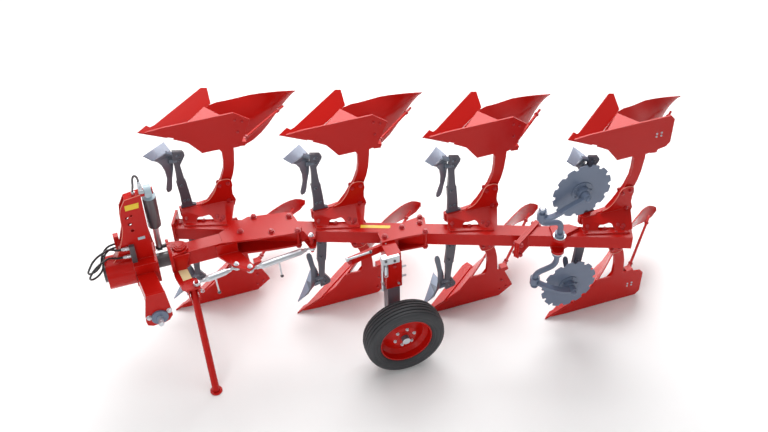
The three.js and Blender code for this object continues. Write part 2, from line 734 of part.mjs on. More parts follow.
const hoseRoutes = {
  hose_upper: [
    [-250, -366, 210], [-264, -366, 210], [-298, -371, 220], [-347, -396, 262], [-393, -439, 283],
    [-446, -462, 266], [-488, -464, 209], [-506, -441, 144], [-480, -400, 103], [-447, -373, 100],
    [-418, -347, 122], [-405, -321, 149], [-362, -279, 180], [-319, -268, 188], [-305.4, -268, 188],
  ],
  hose_lower: [
    [-250, -366, 142], [-264, -366, 142], [-307, -373, 153], [-356, -400, 193], [-392, -444, 219],
    [-446, -475, 210], [-496, -484, 156], [-500, -455, 100], [-476, -428, 78], [-443, -407, 82],
    [-420, -393, 101], [-404, -368, 131], [-396, -338, 146], [-360, -283, 154], [-319, -268, 156],
    [-306, -268, 156],
  ],
};
const valvePipeRoute = [
  [-118, -320, 612], [-117, -320, 640], [-110, -320, 675], [-106, -320, 708], [-99, -320, 736],
  [-88, -320, 748], [-77, -320, 738], [-71, -320, 715], [-70, -320, 692.4],
];

function roundPipe(name, route, material) {
  const points = route.map(([x, y, z]) => new THREE.Vector3(x, y, z));
  const steps = route.length * 2;
  addPiece(name, bentBar(points, roundSection(hoseRadius, 8), steps), material);
}

function addHoses() {
  for (const [name, route] of Object.entries(hoseRoutes)) {
    roundPipe(name, route, rubber());
  }
}

function cylinderAxis() {
  const top = new THREE.Vector3(cylinderX, axisY, cylinderTopZ);
  const pin = new THREE.Vector3(cylinderX, axisY + crankRadius, crankRise);
  const direction = pin.clone().sub(top);
  return { top, pin, length: direction.length(), direction: direction.normalize() };
}

function addCylinder() {
  const { top, pin, length, direction } = cylinderAxis();
  const at = (distance) => top.clone().addScaledVector(direction, distance);
  const barrelEnd = barrelStart + barrelLength;
  const barrel = bar(at(barrelStart), at(barrelEnd), barrelRadius, 28);
  const head = bar(at(18), at(barrelStart + 2), 21, 20);
  const eye = barX(cylinderX - 22, cylinderX + 22, axisY, cylinderTopZ, cylinderEyeRadius, 28);
  const rodStart = barrelEnd - rodInside;
  const bore = bar(at(barrelStart + 6), at(barrelEnd + 10), rodRadius + 2 * fit, 16);
  const pinHole = barX(cylinderX - 40, cylinderX + 40, axisY, cylinderTopZ, cylinderPinRadius + 2 * fit, 20);
  addPiece("cylinder_barrel", cut(join(barrel, head, eye), pinHole, bore), blackPaint());
  const rod = bar(at(rodStart), at(length - 12), rodRadius, 16);
  const rodEye = barX(cylinderX - 18, cylinderX + 18, pin.y, pin.z, 26, 20);
  const rodPin = barX(cylinderX - 26, flangeFront - fit, pin.y, pin.z, 14, 16);
  addPiece("cylinder_rod", join(rod, rodEye, rodPin), zincPlate());
}

// ---- depth wheel -------------------------------------------------------------------

function addWheelBracket() {
  const shape = outline([
    [1395, -735], [1530, -735], [1715, -752], [1752, -600], [1730, -572], [1560, -600], [1395, -640],
  ]);
  const low = half + fit;
  const top = plateXY(shape, low, low + bracketPlate);
  const bottom = plateXY(shape, -low - bracketPlate, -low);
  const web = box(1395, 1510, -735, -690, -low - bracketPlate, low + bracketPlate);
  const stop = plateXZ(outline([[1150, -50], [1180, -75], [1400, -20], [1400, 40], [1150, -15]]), -735, -715);
  const pin = barY(wheelLegY - 72, -700, wheelLegX, 0, 25, 20);
  const beamClear = box(0, 3000, -half - fit, half + fit, -half - fit, half + fit, beamFrame);
  const bolt = barZ(-low - 24, low + 24, 1705, -738, 11, 10);
  addPiece("wheel_bracket", cut(join(top, bottom, web, stop, pin, bolt), beamClear), redPaint());
}

function addWheelArm() {
  const boss = box(wheelLegX - 50, wheelLegX + 50, wheelLegY - 56, -735.6, -50, 46);
  const outer = box(wheelLegX - 56, wheelLegX + 56, wheelLegY - 56, wheelLegY + 56, -268, -34);
  const clear = legTube / 2 + 0.4;
  const inner = box(wheelLegX - clear, wheelLegX + clear, wheelLegY - clear, wheelLegY + clear, -400, -100);
  const hole = barY(wheelLegY - 100, -700, wheelLegX, 0, 25 + fit, 24);
  addPiece("wheel_arm", cut(join(boss, outer), inner, hole), redPaint());
}

function addWheelLeg() {
  const h = legTube / 2;
  const tube = box(wheelLegX - h, wheelLegX + h, wheelLegY - h, wheelLegY + h, -600, -100 - fit);
  const wheelZ = tyreRadius - tipHeight;
  const axle = barY(wheelY - 62, wheelLegY - h + 2, wheelX, wheelZ, axleRadius, 20);
  const washer = barY(wheelY + 52, wheelLegY - h + 2, wheelX, wheelZ, 40, 20);
  addPiece("wheel_leg", join(tube, axle, washer), greyPaint());
  const x = wheelLegX - 56 - 10;
  const screw = barZ(-330, -40, x, wheelLegY, 9, 12);
  const nut = box(x - 14, wheelLegX - 56 - fit, wheelLegY - 16, wheelLegY + 16, -60, -30);
  const foot = box(x - 12, wheelLegX - 56 - fit, wheelLegY - 14, wheelLegY + 14, -262, -242);
  addPiece("depth_spindle", join(screw, nut, foot), zincPlate());
}

function addWheel() {
  const wheelZ = tyreRadius - tipHeight;
  const w = tyreWidth / 2;
  const tyreProfile = [
    [rimRadius, -w + 22], [rimRadius + 18, -w + 6], [235, -w], [266, -w + 8], [280, -w + 26],
    [tyreRadius, -w + 52], [tyreRadius, w - 52], [280, w - 26], [266, w - 8], [235, w],
    [rimRadius + 18, w - 6], [rimRadius, w - 22],
  ];
  addPiece("wheel_tyre", turned(tyreProfile, wheelX, wheelY, wheelZ), rubber());
  const r = rimRadius - fit;
  const bore = axleRadius + fit;
  const rimProfile = [
    [bore, -26], [52, -26], [52, -20], [88, -16], [120, 8], [150, 14], [176, -8], [180, -w + 22],
    [r, -w + 22], [r, w - 22], [182, w - 22], [180, 20], [150, 24], [112, 18], [84, -6], [62, -8],
    [62, 50], [bore, 50],
  ];
  addPiece("wheel_rim", turned(rimProfile, wheelX, wheelY, wheelZ), redPaint());
}

// ---- disc coulters -----------------------------------------------------------------

function coulterDisc(side) {
  const notches = 14;
  const shape = new THREE.Shape();
  const point = (radius, angle) => [
    discX + radius * Math.cos(angle), side * discZ + radius * Math.sin(angle),
  ];
  for (let i = 0; i < notches; i += 1) {
    const start = (2 * Math.PI * i) / notches;
    const step = (2 * Math.PI) / notches;
    const corners = [
      [discRadius - 20, 0.2], [discRadius, 0.32], [discRadius, 0.6], [discRadius, 0.88],
      [discRadius - 20, 1],
    ];
    for (const [radius, share] of corners) {
      const [x, z] = point(radius, start + share * step);
      if (i === 0 && share === 0.2) {
        shape.moveTo(x, z);
      } else {
        shape.lineTo(x, z);
      }
    }
  }
  const disc = plateXZ(shape, coulterY - 3, coulterY + 3);
  const hub = barY(coulterY - 42, coulterY + 14, discX, side * discZ, 45, 20);
  const bore = barY(coulterY - 60, coulterY + 40, discX, side * discZ, 14 + fit, 16);
  return cut(join(disc, hub), bore);
}

function coulterStalk(side) {
  const at = (x, z) => new THREE.Vector3(x, coulterY, side * z);
  const start = half + clampThickness + fit;
  const path = [
    at(coulterBendX, start), at(coulterBendX, 120), at(coulterBendX, 165), at(coulterBendX - 22, 200),
    at(coulterBendX - 70, 216), at(coulterFrontX + 32, 226), at(coulterFrontX + 4, 246),
    at(coulterFrontX, 268),
  ];
  const rod = bentBar(path, roundSection(stalkRadius, 8), 16);
  const swivel = barZ(Math.min(side * 262, side * 345), Math.max(side * 262, side * 345),
    coulterFrontX, coulterY, stalkRadius, 12);
  const collar = barZ(Math.min(side * start, side * 104), Math.max(side * start, side * 104),
    coulterBendX, coulterY, 34, 16);
  return join(rod, swivel, collar);
}

function coulterArm(side) {
  const z = side * coulterFrontZ;
  const hub = barZ(z - 28, z + 28, coulterFrontX, coulterY, 34, 16);
  const swivelHole = barZ(-500, 500, coulterFrontX, coulterY, stalkRadius + 3 * fit, 12);
  const armY = coulterY - 60;
  const path = [
    new THREE.Vector3(coulterFrontX + 10, coulterY - 30, z),
    new THREE.Vector3(coulterFrontX + 50, armY + 8, z + side * 20),
    new THREE.Vector3(discX - 120, armY - 8, side * (discZ - 50)),
    new THREE.Vector3(discX, armY - 8, side * discZ),
  ];
  const beam = bentBar(path, outline([[-9, -22], [9, -22], [9, 22], [-9, 22]]), 10);
  const boss = barY(armY - 28, coulterY - 43, discX, side * discZ, 30, 16);
  const pin = barY(armY - 20, coulterY + 26, discX, side * discZ, 14, 16);
  return cut(join(hub, beam, boss, pin), swivelHole);
}

function addCoulters() {
  for (const [level, side] of [["upper", 1], ["lower", -1]]) {
    addPiece(`coulter_disc_${level}`, coulterDisc(side), greyPaint());
    addPiece(`coulter_stalk_${level}`, coulterStalk(side), greyPaint());
    addPiece(`coulter_arm_${level}`, coulterArm(side), greyPaint());
  }
}

// ---- parking stand ---------------------------------------------------------------------

function addStand() {
  const foot = new THREE.Vector3(standX, standFootY, -tipHeight + 9);
  const direction = foot.clone().sub(standTop).normalize();
  const top = standTop.clone().addScaledVector(direction, -28);
  const tube = bar(top, foot, standRadius, 20);
  const disc = barZ(-tipHeight, -tipHeight + 10, standX, standFootY, 42, 24);
  const trim = box(-100, 400, -1100, -600, -1000, -tipHeight);
  const pinHole = barX(60, 180, standTop.y, standTop.z, 8 + 2 * fit, 10);
  addPiece("parking_stand", cut(join(tube, disc), trim, pinHole), redPaint());
}

// ---- assembly ---------------------------------------------------------------------

addHeadstock();
addHitch();
roundPipe("valve_pipe", valvePipeRoute, blackPaint());
addCylinder();
addTurnoverHead();
addFrontLink();
addLinkBracket();
addTurnbuckles();
addBeams();
addBodies();
addWheelBracket();
addWheelArm();
addWheelLeg();
addWheel();
addCoulters();
addStand();

// The origin is under the middle of everything but the hoses.
const extent = new THREE.Box3().setFromObject(plough);
addHoses();
plough.position.set(
  -(extent.min.x + extent.max.x) / 2, -(extent.min.y + extent.max.y) / 2, -extent.min.z,
);

export default plough;
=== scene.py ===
import json
import math

import bpy
from mathutils import Matrix, Vector

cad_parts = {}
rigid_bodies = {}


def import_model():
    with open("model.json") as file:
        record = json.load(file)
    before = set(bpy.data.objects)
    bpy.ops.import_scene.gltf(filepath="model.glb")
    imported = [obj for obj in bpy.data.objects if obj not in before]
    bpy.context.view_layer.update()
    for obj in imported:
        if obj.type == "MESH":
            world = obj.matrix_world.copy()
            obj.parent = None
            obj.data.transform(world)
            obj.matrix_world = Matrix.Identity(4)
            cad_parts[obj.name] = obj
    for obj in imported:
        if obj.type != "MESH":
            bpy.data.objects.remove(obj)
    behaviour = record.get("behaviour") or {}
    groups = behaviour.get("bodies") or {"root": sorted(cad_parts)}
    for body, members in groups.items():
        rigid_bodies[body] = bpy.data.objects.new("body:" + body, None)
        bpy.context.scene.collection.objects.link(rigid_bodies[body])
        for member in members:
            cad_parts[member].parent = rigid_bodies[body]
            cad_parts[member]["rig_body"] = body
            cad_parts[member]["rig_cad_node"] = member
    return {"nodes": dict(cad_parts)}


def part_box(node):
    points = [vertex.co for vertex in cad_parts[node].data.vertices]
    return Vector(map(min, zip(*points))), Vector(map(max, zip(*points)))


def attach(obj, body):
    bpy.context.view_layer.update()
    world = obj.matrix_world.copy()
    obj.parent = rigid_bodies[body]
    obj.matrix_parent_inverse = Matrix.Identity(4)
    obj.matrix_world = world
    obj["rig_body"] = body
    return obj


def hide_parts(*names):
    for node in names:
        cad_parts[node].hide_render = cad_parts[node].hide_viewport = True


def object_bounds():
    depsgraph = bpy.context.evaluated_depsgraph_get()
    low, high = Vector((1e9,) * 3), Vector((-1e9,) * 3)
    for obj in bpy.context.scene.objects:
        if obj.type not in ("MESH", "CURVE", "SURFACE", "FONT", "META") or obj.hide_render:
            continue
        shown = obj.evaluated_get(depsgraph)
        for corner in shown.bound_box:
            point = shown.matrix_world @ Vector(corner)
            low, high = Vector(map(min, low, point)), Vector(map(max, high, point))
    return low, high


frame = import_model()
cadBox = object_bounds()

# Places are in millimetres from the first share tip: x rearward, y to the plough's right,
# z up from the turnover axis. The middle of the tyre ties them to the loaded model.
layout = {
    "bodies": 4, "spacing": 850, "furrow": 342, "tipHeight": 837, "beamHalf": 50, "axisY": -320,
    "wheel": (1432, -1050, -550), "lastSkimmerAside": 25,
}
tyreLow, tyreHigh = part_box("wheel_tyre")
origin = (tyreLow + tyreHigh) / 2 - Vector([side / 1000 for side in layout["wheel"]])
beamTurn = Matrix.Rotation(-math.atan2(layout["furrow"], layout["spacing"]), 4, "Z")
bodyPlaces = [(index, side) for index in range(layout["bodies"]) for side in (1, -1)]
levelNames = {1: "lower", -1: "upper"}


def at(x, y, z):
    return origin + Vector((x, y, z)) / 1000


def onBeam(along, across, z):
    return at(*(beamTurn @ Vector((along, across, z))))


def onStation(index, x, y, z):
    return at(x + layout["spacing"] * index, y - layout["furrow"] * index, z)


def onBody(index, side, x, y, z):  # z up from the sole; side 1 is the lower body, -1 the upper
    return onStation(index, x, y, side * (z - layout["tipHeight"]))


# Camera
print("stage: camera")
view = {
    "azimuth": 18.26, "elevation": 41.89, "roll": -1.31, "lens": 48.7, "sensor": 36,
    "place": (-183.6, -5572.5, 4866.2),
}


def makeCamera():
    azimuth = math.radians(view["azimuth"])
    elevation = math.radians(view["elevation"])
    roll = math.radians(view["roll"])
    level = Vector((math.cos(azimuth), -math.sin(azimuth), 0))
    flat = math.cos(elevation)
    ahead = Vector((math.sin(azimuth) * flat, math.cos(azimuth) * flat, -math.sin(elevation)))
    upright = level.cross(ahead)
    right = level * math.cos(roll) + upright * math.sin(roll)
    up = upright * math.cos(roll) - level * math.sin(roll)
    bpy.ops.object.camera_add()
    camera = bpy.context.object
    turn = Matrix((right, up, -ahead)).transposed().to_4x4()
    camera.matrix_world = Matrix.Translation(at(*view["place"])) @ turn
    camera.data.lens = view["lens"]
    camera.data.sensor_width = view["sensor"]
    bpy.context.scene.camera = camera


makeCamera()
bpy.context.scene.view_settings.view_transform = "Standard"

# Materials
print("stage: materials")
edgeHighlight = {"from": 0.97, "to": 0.85}  # painted highlight: how far the rounded normal leans before the pale line along the edges shows


def addNode(tree, kind, **settings):
    node = tree.nodes.new(kind)
    for key, value in settings.items():
        setattr(node, key, value)
    return node


def makeFinish(name, look):  # two cloudy shades, a fine grain and a paler line along the edges that is a painted highlight
    material = bpy.data.materials.new(name)
    material.use_nodes = True
    tree = material.node_tree
    links = tree.links
    shader = tree.nodes["Principled BSDF"]
    shader.inputs["Metallic"].default_value = look.get("metal", 0)
    shader.inputs["Coat Weight"].default_value = look.get("coat", 0)
    shader.inputs["Coat Roughness"].default_value = 0.1
    shader.inputs["Specular IOR Level"].default_value = look.get("shine", 0.5)
    place = addNode(tree, "ShaderNodeTexCoord")
    cloud = addNode(tree, "ShaderNodeTexNoise")
    cloud.inputs["Scale"].default_value = look["cloudScale"]
    cloud.inputs["Detail"].default_value = 4
    links.new(place.outputs["Object"], cloud.inputs["Vector"])
    tint = addNode(tree, "ShaderNodeMix", data_type="RGBA")
    tint.inputs[6].default_value = (*look["color"], 1)
    tint.inputs[7].default_value = (*look["shade"], 1)
    links.new(cloud.outputs["Fac"], tint.inputs[0])
    rough = addNode(tree, "ShaderNodeMapRange")
    rough.inputs["To Min"].default_value = look["rough"][0]
    rough.inputs["To Max"].default_value = look["rough"][1]
    links.new(cloud.outputs["Fac"], rough.inputs["Value"])
    links.new(rough.outputs["Result"], shader.inputs["Roughness"])
    grain = addNode(tree, "ShaderNodeTexNoise")
    grain.inputs["Scale"].default_value = look["grainScale"]
    links.new(place.outputs["Object"], grain.inputs["Vector"])
    bump = addNode(tree, "ShaderNodeBump")
    bump.inputs["Strength"].default_value = look["grain"]
    bump.inputs["Distance"].default_value = 0.001
    links.new(grain.outputs["Fac"], bump.inputs["Height"])
    color = tint.outputs[2]
    # The paler line along the edges is a painted highlight, where the edges catch light
    if "edge" in look:
        rounded = addNode(tree, "ShaderNodeBevel", samples=4)
        rounded.inputs["Radius"].default_value = look["edgeWidth"]
        links.new(rounded.outputs["Normal"], bump.inputs["Normal"])
        geometry = addNode(tree, "ShaderNodeNewGeometry")
        same = addNode(tree, "ShaderNodeVectorMath", operation="DOT_PRODUCT")
        links.new(rounded.outputs["Normal"], same.inputs[0])
        links.new(geometry.outputs["Normal"], same.inputs[1])
        highlighted = addNode(tree, "ShaderNodeMapRange")
        highlighted.inputs["From Min"].default_value = edgeHighlight["from"]
        highlighted.inputs["From Max"].default_value = edgeHighlight["to"]
        highlighted.inputs["To Max"].default_value = look["edgeMix"]
        links.new(same.outputs["Value"], highlighted.inputs["Value"])
        lined = addNode(tree, "ShaderNodeMix", data_type="RGBA")
        links.new(highlighted.outputs["Result"], lined.inputs[0])
        links.new(color, lined.inputs[6])
        lined.inputs[7].default_value = (*look["edge"], 1)
        color = lined.outputs[2]
    links.new(bump.outputs["Normal"], shader.inputs["Normal"])
    links.new(color, shader.inputs["Base Color"])
    return material


# Each "edge" colour below is the painted highlight along that finish's edges
looks = {
    "redPaint": {
        "color": (0.54, 0.008, 0.004), "shade": (0.46, 0.005, 0.003), "rough": (0.2, 0.3), "shine": 0.24,
        "cloudScale": 3, "grainScale": 260, "grain": 0.04, "edge": (0.85, 0.22, 0.2), "edgeWidth": 0.003,
        "edgeMix": 0.6,
    },
    # the weld colour is a pale red that paints a highlight, where welds and edges catch light
    "weldHighlightRed": {
        "color": (0.9, 0.3, 0.22), "shade": (0.75, 0.14, 0.1), "rough": (0.25, 0.4), "coat": 0.3,
        "cloudScale": 90, "grainScale": 700, "grain": 0.5,
    },
    "boltRed": {
        "color": (0.5, 0.008, 0.012), "shade": (0.4, 0.004, 0.006), "rough": (0.3, 0.42), "coat": 0.3,
        "cloudScale": 30, "grainScale": 500, "grain": 0.08,
    },
    "stalkGrey": {
        "color": (0.085, 0.08, 0.105), "shade": (0.058, 0.056, 0.078), "rough": (0.36, 0.5), "coat": 0.2,
        "cloudScale": 5, "grainScale": 300, "grain": 0.08, "edge": (0.3, 0.33, 0.38), "edgeWidth": 0.0025,
        "edgeMix": 0.5,
    },
    "discBlue": {
        "color": (0.15, 0.19, 0.28), "shade": (0.11, 0.145, 0.22), "rough": (0.34, 0.46), "coat": 0.25,
        "cloudScale": 6, "grainScale": 260, "grain": 0.06, "edge": (0.32, 0.38, 0.46), "edgeWidth": 0.002,
        "edgeMix": 0.5,
    },
    "boardGrey": {
        "color": (0.17, 0.2, 0.25), "shade": (0.12, 0.145, 0.18), "rough": (0.28, 0.42), "metal": 0.25,
        "cloudScale": 7, "grainScale": 240, "grain": 0.05, "edge": (0.6, 0.64, 0.7), "edgeWidth": 0.002,
        "edgeMix": 0.5,
    },
    "shareGrey": {
        "color": (0.3, 0.36, 0.46), "shade": (0.22, 0.27, 0.36), "rough": (0.32, 0.44), "metal": 0.15,
        "cloudScale": 8, "grainScale": 220, "grain": 0.05, "edge": (0.85, 0.87, 0.9), "edgeWidth": 0.002,
        "edgeMix": 0.5,
    },
    "legGrey": {
        "color": (0.15, 0.17, 0.2), "shade": (0.1, 0.115, 0.14), "rough": (0.3, 0.42), "coat": 0.3,
        "metal": 0.2, "cloudScale": 6, "grainScale": 260, "grain": 0.05, "edge": (0.75, 0.78, 0.82),
        "edgeWidth": 0.002, "edgeMix": 0.4,
    },
    "zinc": {
        "color": (0.72, 0.75, 0.79), "shade": (0.58, 0.61, 0.65), "rough": (0.26, 0.4), "metal": 0.75,
        "cloudScale": 18, "grainScale": 420, "grain": 0.06,
    },
    "paleGrey": {
        "color": (0.45, 0.56, 0.62), "shade": (0.36, 0.46, 0.52), "rough": (0.3, 0.42), "coat": 0.3,
        "cloudScale": 8, "grainScale": 300, "grain": 0.05,
    },
    "barrelBlack": {
        "color": (0.085, 0.075, 0.085), "shade": (0.055, 0.05, 0.058), "rough": (0.3, 0.42), "coat": 0.4,
        "cloudScale": 6, "grainScale": 300, "grain": 0.05,
    },
    "rubber": {
        "color": (0.045, 0.047, 0.052), "shade": (0.028, 0.029, 0.033), "rough": (0.55, 0.72),
        "cloudScale": 9, "grainScale": 160, "grain": 0.25,
    },
    "hoseRubber": {
        "color": (0.02, 0.02, 0.023), "shade": (0.012, 0.012, 0.014), "rough": (0.38, 0.5),
        "cloudScale": 14, "grainScale": 600, "grain": 0.2,
    },
    "labelYellow": {
        "color": (0.85, 0.6, 0.03), "shade": (0.78, 0.52, 0.02), "rough": (0.3, 0.4),
        "cloudScale": 12, "grainScale": 300, "grain": 0.03,
    },
    "labelCream": {
        "color": (0.85, 0.74, 0.42), "shade": (0.8, 0.68, 0.36), "rough": (0.32, 0.42),
        "cloudScale": 12, "grainScale": 300, "grain": 0.03,
    },
}
finishes = {name: makeFinish(name, look) for name, look in looks.items()}

# Modelling helpers: sizes are in millimetres, places come from at() and are in metres
mergeGap = 0.00002  # metres


def pick(obj):
    bpy.ops.object.select_all(action="DESELECT")
    obj.select_set(True)
    bpy.context.view_layer.objects.active = obj


def applyPlace(obj):
    pick(obj)
    bpy.ops.object.transform_apply(location=True, rotation=True, scale=True)


def smooth(obj, degrees=35):
    pick(obj)
    bpy.ops.object.shade_smooth_by_angle(angle=math.radians(degrees))


def flatten(obj):
    smooth(obj)
    faces = obj.modifiers.new("faces", "WEIGHTED_NORMAL")
    faces.keep_sharp = True
    faces.weight = 90
    bpy.ops.object.modifier_apply(modifier="faces")


def dress(obj, finish):
    obj.data.materials.clear()
    obj.data.materials.append(finishes[finish])


def softenEdges(obj, width, segments=2, degrees=30):
    pick(obj)
    edges = obj.modifiers.new("edges", "BEVEL")
    edges.width = width / 1000
    edges.segments = segments
    edges.limit_method = "ANGLE"
    edges.angle_limit = math.radians(degrees)
    bpy.ops.object.modifier_apply(modifier="edges")


def joined(objects):
    bpy.ops.object.select_all(action="DESELECT")
    for obj in objects:
        obj.select_set(True)
    bpy.context.view_layer.objects.active = objects[0]
    if len(objects) > 1:
        bpy.ops.object.join()
    return bpy.context.view_layer.objects.active


def aim(direction):  # turns a piece made along z to point this way
    turn = Vector((0, 0, 1)).rotation_difference(Vector(direction).normalized())
    return turn.to_matrix().to_4x4()


def rod(start, end, radius, finish, vertices, edge):
    length = (end - start).length
    bpy.ops.mesh.primitive_cylinder_add(vertices=vertices, radius=radius / 1000, depth=length)
    piece = bpy.context.object
    piece.matrix_world = Matrix.Translation((start + end) / 2) @ aim(end - start)
    applyPlace(piece)
    softenEdges(piece, edge)
    smooth(piece)
    dress(piece, finish)
    return piece


def block(centre, size, finish, edge):
    bpy.ops.mesh.primitive_cube_add(size=1)
    piece = bpy.context.object
    piece.scale = [side / 1000 for side in size]
    bpy.ops.object.transform_apply(location=False, rotation=False, scale=True)
    softenEdges(piece, edge)
    piece.matrix_world = Matrix.Translation(centre)
    applyPlace(piece)
    dress(piece, finish)
    return piece


def turnedPiece(outline, start, direction, finish, steps, closed=False):  # outline: (radius, along)
    points = [Vector((radius, 0, place)) / 1000 for radius, place in outline]
    if closed:
        points.append(points[0])
    bpy.ops.mesh.primitive_plane_add(size=0.01)
    piece = bpy.context.object
    bpy.ops.object.mode_set(mode="EDIT")
    bpy.ops.mesh.select_all(action="SELECT")
    bpy.ops.mesh.merge(type="CENTER")
    bpy.ops.transform.translate(value=points[0])
    for before, after in zip(points, points[1:]):
        bpy.ops.mesh.extrude_region_move(TRANSFORM_OT_translate={"value": after - before})
    bpy.ops.mesh.select_all(action="SELECT")
    bpy.ops.mesh.spin(steps=steps, angle=2 * math.pi, center=(0, 0, 0), axis=(0, 0, 1))
    bpy.ops.mesh.select_all(action="SELECT")
    bpy.ops.mesh.remove_doubles(threshold=mergeGap)
    bpy.ops.mesh.normals_make_consistent(inside=False)
    bpy.ops.object.mode_set(mode="OBJECT")
    piece.matrix_world = Matrix.Translation(start) @ aim(direction)
    applyPlace(piece)
    smooth(piece)
    dress(piece, finish)
    return piece


def copies(source, places):
    made = []
    for point, direction, size in places:
        copy = source.copy()
        copy.data = source.data.copy()
        bpy.context.collection.objects.link(copy)
        copy.matrix_world = Matrix.Translation(point) @ aim(direction) @ Matrix.Scale(size, 4)
        applyPlace(copy)
        made.append(copy)
    return made


def remove(obj):
    bpy.data.objects.remove(obj, do_unlink=True)


def ridden(piece, name, body, replaced=()):
    piece.name = name
    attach(piece, body)
    if replaced:
        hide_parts(*replaced)
    return piece


def bevelledNode(name, finish, width=1.6, degrees=30):
    source = frame["nodes"][name]
    body = source["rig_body"]
    copy = source.copy()
    copy.data = source.data.copy()
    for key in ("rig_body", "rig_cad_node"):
        del copy[key]
    copy.parent = None
    copy.matrix_world = Matrix()
    bpy.context.collection.objects.link(copy)
    pick(copy)
    bpy.ops.object.mode_set(mode="EDIT")
    bpy.ops.mesh.select_all(action="SELECT")
    bpy.ops.mesh.remove_doubles(threshold=mergeGap)
    bpy.ops.mesh.dissolve_limited(angle_limit=math.radians(0.5))
    bpy.ops.object.mode_set(mode="OBJECT")
    softenEdges(copy, width, 2, degrees)
    flatten(copy)
    dress(copy, finish)
    return ridden(copy, name + "_finished", body, replaced=[name])


def paintWhere(obj, finish, wanted):
    obj.data.materials.append(finishes[finish])
    slotIndex = len(obj.data.materials) - 1
    for face in obj.data.polygons:
        if wanted(*((face.center - origin) * 1000)):
            face.material_index = slotIndex


# Hoses, and the steel pipe to the valve on the tower
print("stage: hoses")
hoses = {
    "radius": 7, "length": {"hose_upper": 0.716, "hose_lower": 0.717},
    "hose_upper": [
        (-250, -366, 210), (-264, -366, 210), (-298, -371, 220), (-347, -396, 262), (-393, -439, 283),
        (-446, -462, 266), (-488, -464, 209), (-506, -441, 144), (-480, -400, 103), (-447, -373, 100),
        (-418, -347, 122), (-405, -321, 149), (-362, -279, 180), (-319, -268, 188), (-305.4, -268, 188),
    ],
    "hose_lower": [
        (-250, -366, 142), (-264, -366, 142), (-307, -373, 153), (-356, -400, 193), (-392, -444, 219),
        (-446, -475, 210), (-496, -484, 156), (-500, -455, 100), (-476, -428, 78), (-443, -407, 82),
        (-420, -393, 101), (-404, -368, 131), (-396, -338, 146), (-360, -283, 154), (-319, -268, 156),
        (-306, -268, 156),
    ],
    "valve_pipe": [
        (-118, -320, 612), (-117, -320, 640), (-110, -320, 675), (-106, -320, 708), (-99, -320, 736),
        (-88, -320, 748), (-77, -320, 738), (-71, -320, 715), (-70, -320, 692.4),
    ],
}


def smoothLine(route, radius, finish, corners="AUTO"):
    bpy.ops.curve.primitive_bezier_curve_add()
    line = bpy.context.object
    line.data.dimensions = "3D"
    spline = line.data.splines[0]
    spline.bezier_points.add(len(route) - 2)
    for knot, point in zip(spline.bezier_points, route):
        knot.co = point
        knot.handle_left_type = corners
        knot.handle_right_type = corners
    line.data.bevel_depth = radius / 1000
    line.data.bevel_resolution = 5
    line.data.resolution_u = 12
    line.data.use_fill_caps = True
    line.data.materials.append(finishes[finish])
    bpy.context.view_layer.update()
    return line


def makeHose(name):
    route = [at(*point) for point in hoses[name]]
    hose = smoothLine(route, hoses["radius"], "hoseRubber")
    ridden(hose, name + "_line", "headstock", [name])


def makePipe():
    route = [at(*point) for point in hoses["valve_pipe"]]
    pipe = smoothLine(route, hoses["radius"], "barrelBlack")
    pick(pipe)
    bpy.ops.object.convert(target="MESH")
    ridden(bpy.context.object, "valve_pipe_bent", "headstock", replaced=["valve_pipe"])


makeHose("hose_upper")
makeHose("hose_lower")
makePipe()

# Frame, headstock and bodies with rounded edges
print("stage: finished frame")
redNodes = [
    "headstock_tower", "hitch_beam", "turnover_head", "front_link", "link_bracket", "main_beam",
    "beam_extension", "wheel_bracket", "wheel_arm", "parking_stand",
]
finished = {}
for name in redNodes:
    finished[name] = bevelledNode(name, "redPaint", 2)
for index, side in bodyPlaces:
    tag = f"{levelNames[side]}_{index + 1}"
    bevelledNode(f"leg_{tag}", "redPaint", 1.6)
    bevelledNode(f"mouldboard_{tag}", "redPaint", 1.2, 50)
    bevelledNode(f"share_{tag}", "redPaint", 1.4)
for name, finish, width in [
    ("turnover_shaft", "barrelBlack", 1.6), ("cylinder_barrel", "barrelBlack", 1.6),
    ("cylinder_rod", "zinc", 0.8), ("wheel_leg", "legGrey", 2.5), ("wheel_rim", "redPaint", 1.2),
    ("coulter_disc_upper", "discBlue", 0.8), ("coulter_disc_lower", "discBlue", 0.8),
    ("coulter_stalk_upper", "discBlue", 0.8), ("coulter_stalk_lower", "discBlue", 0.8),
    ("coulter_arm_upper", "discBlue", 1), ("coulter_arm_lower", "discBlue", 1),
]:
    finished[name] = bevelledNode(name, finish, width)

# The second colour of each piece, by the place of its faces
axisY = layout["axisY"]
towerSide = -353.5
tower = finished["headstock_tower"]  # its coupling block, the sockets on it and the valve on top
paintWhere(tower, "barrelBlack", lambda x, y, z: -223 < x < -187 and y < towerSide and z > 70)
paintWhere(tower, "zinc", lambda x, y, z: -250 < x < -222.5 and y < towerSide and z > 100)
paintWhere(tower, "zinc", lambda x, y, z: x < -54 and z > 618)
hitch = finished["hitch_beam"]  # the discs and pins at its ends
paintWhere(hitch, "discBlue", lambda x, y, z: abs(y - axisY) > 336.5)
paintWhere(hitch, "zinc", lambda x, y, z: abs(y - axisY) > 350.5)
barrel = finished["cylinder_barrel"]
paintWhere(barrel, "paleGrey", lambda x, y, z: z > 549 - (y - axisY) * 0.2)
cylinderRod = finished["cylinder_rod"]
paintWhere(cylinderRod, "barrelBlack", lambda x, y, z: z < 55)
wheelLeg = finished["wheel_leg"]
paintWhere(wheelLeg, "zinc", lambda x, y, z: y < -1060)

# Skimmers: a dark stalk, a blue-grey board and a pale share
print("stage: skimmers")
skimmerLook = {"stalk": "stalkGrey", "board": "boardGrey", "share": "shareGrey", "edge": 1.2}


def skimmerAside(index):  # the last skimmer hangs further to the right, beside the coulters
    return layout["lastSkimmerAside"] if index == layout["bodies"] - 1 else 0


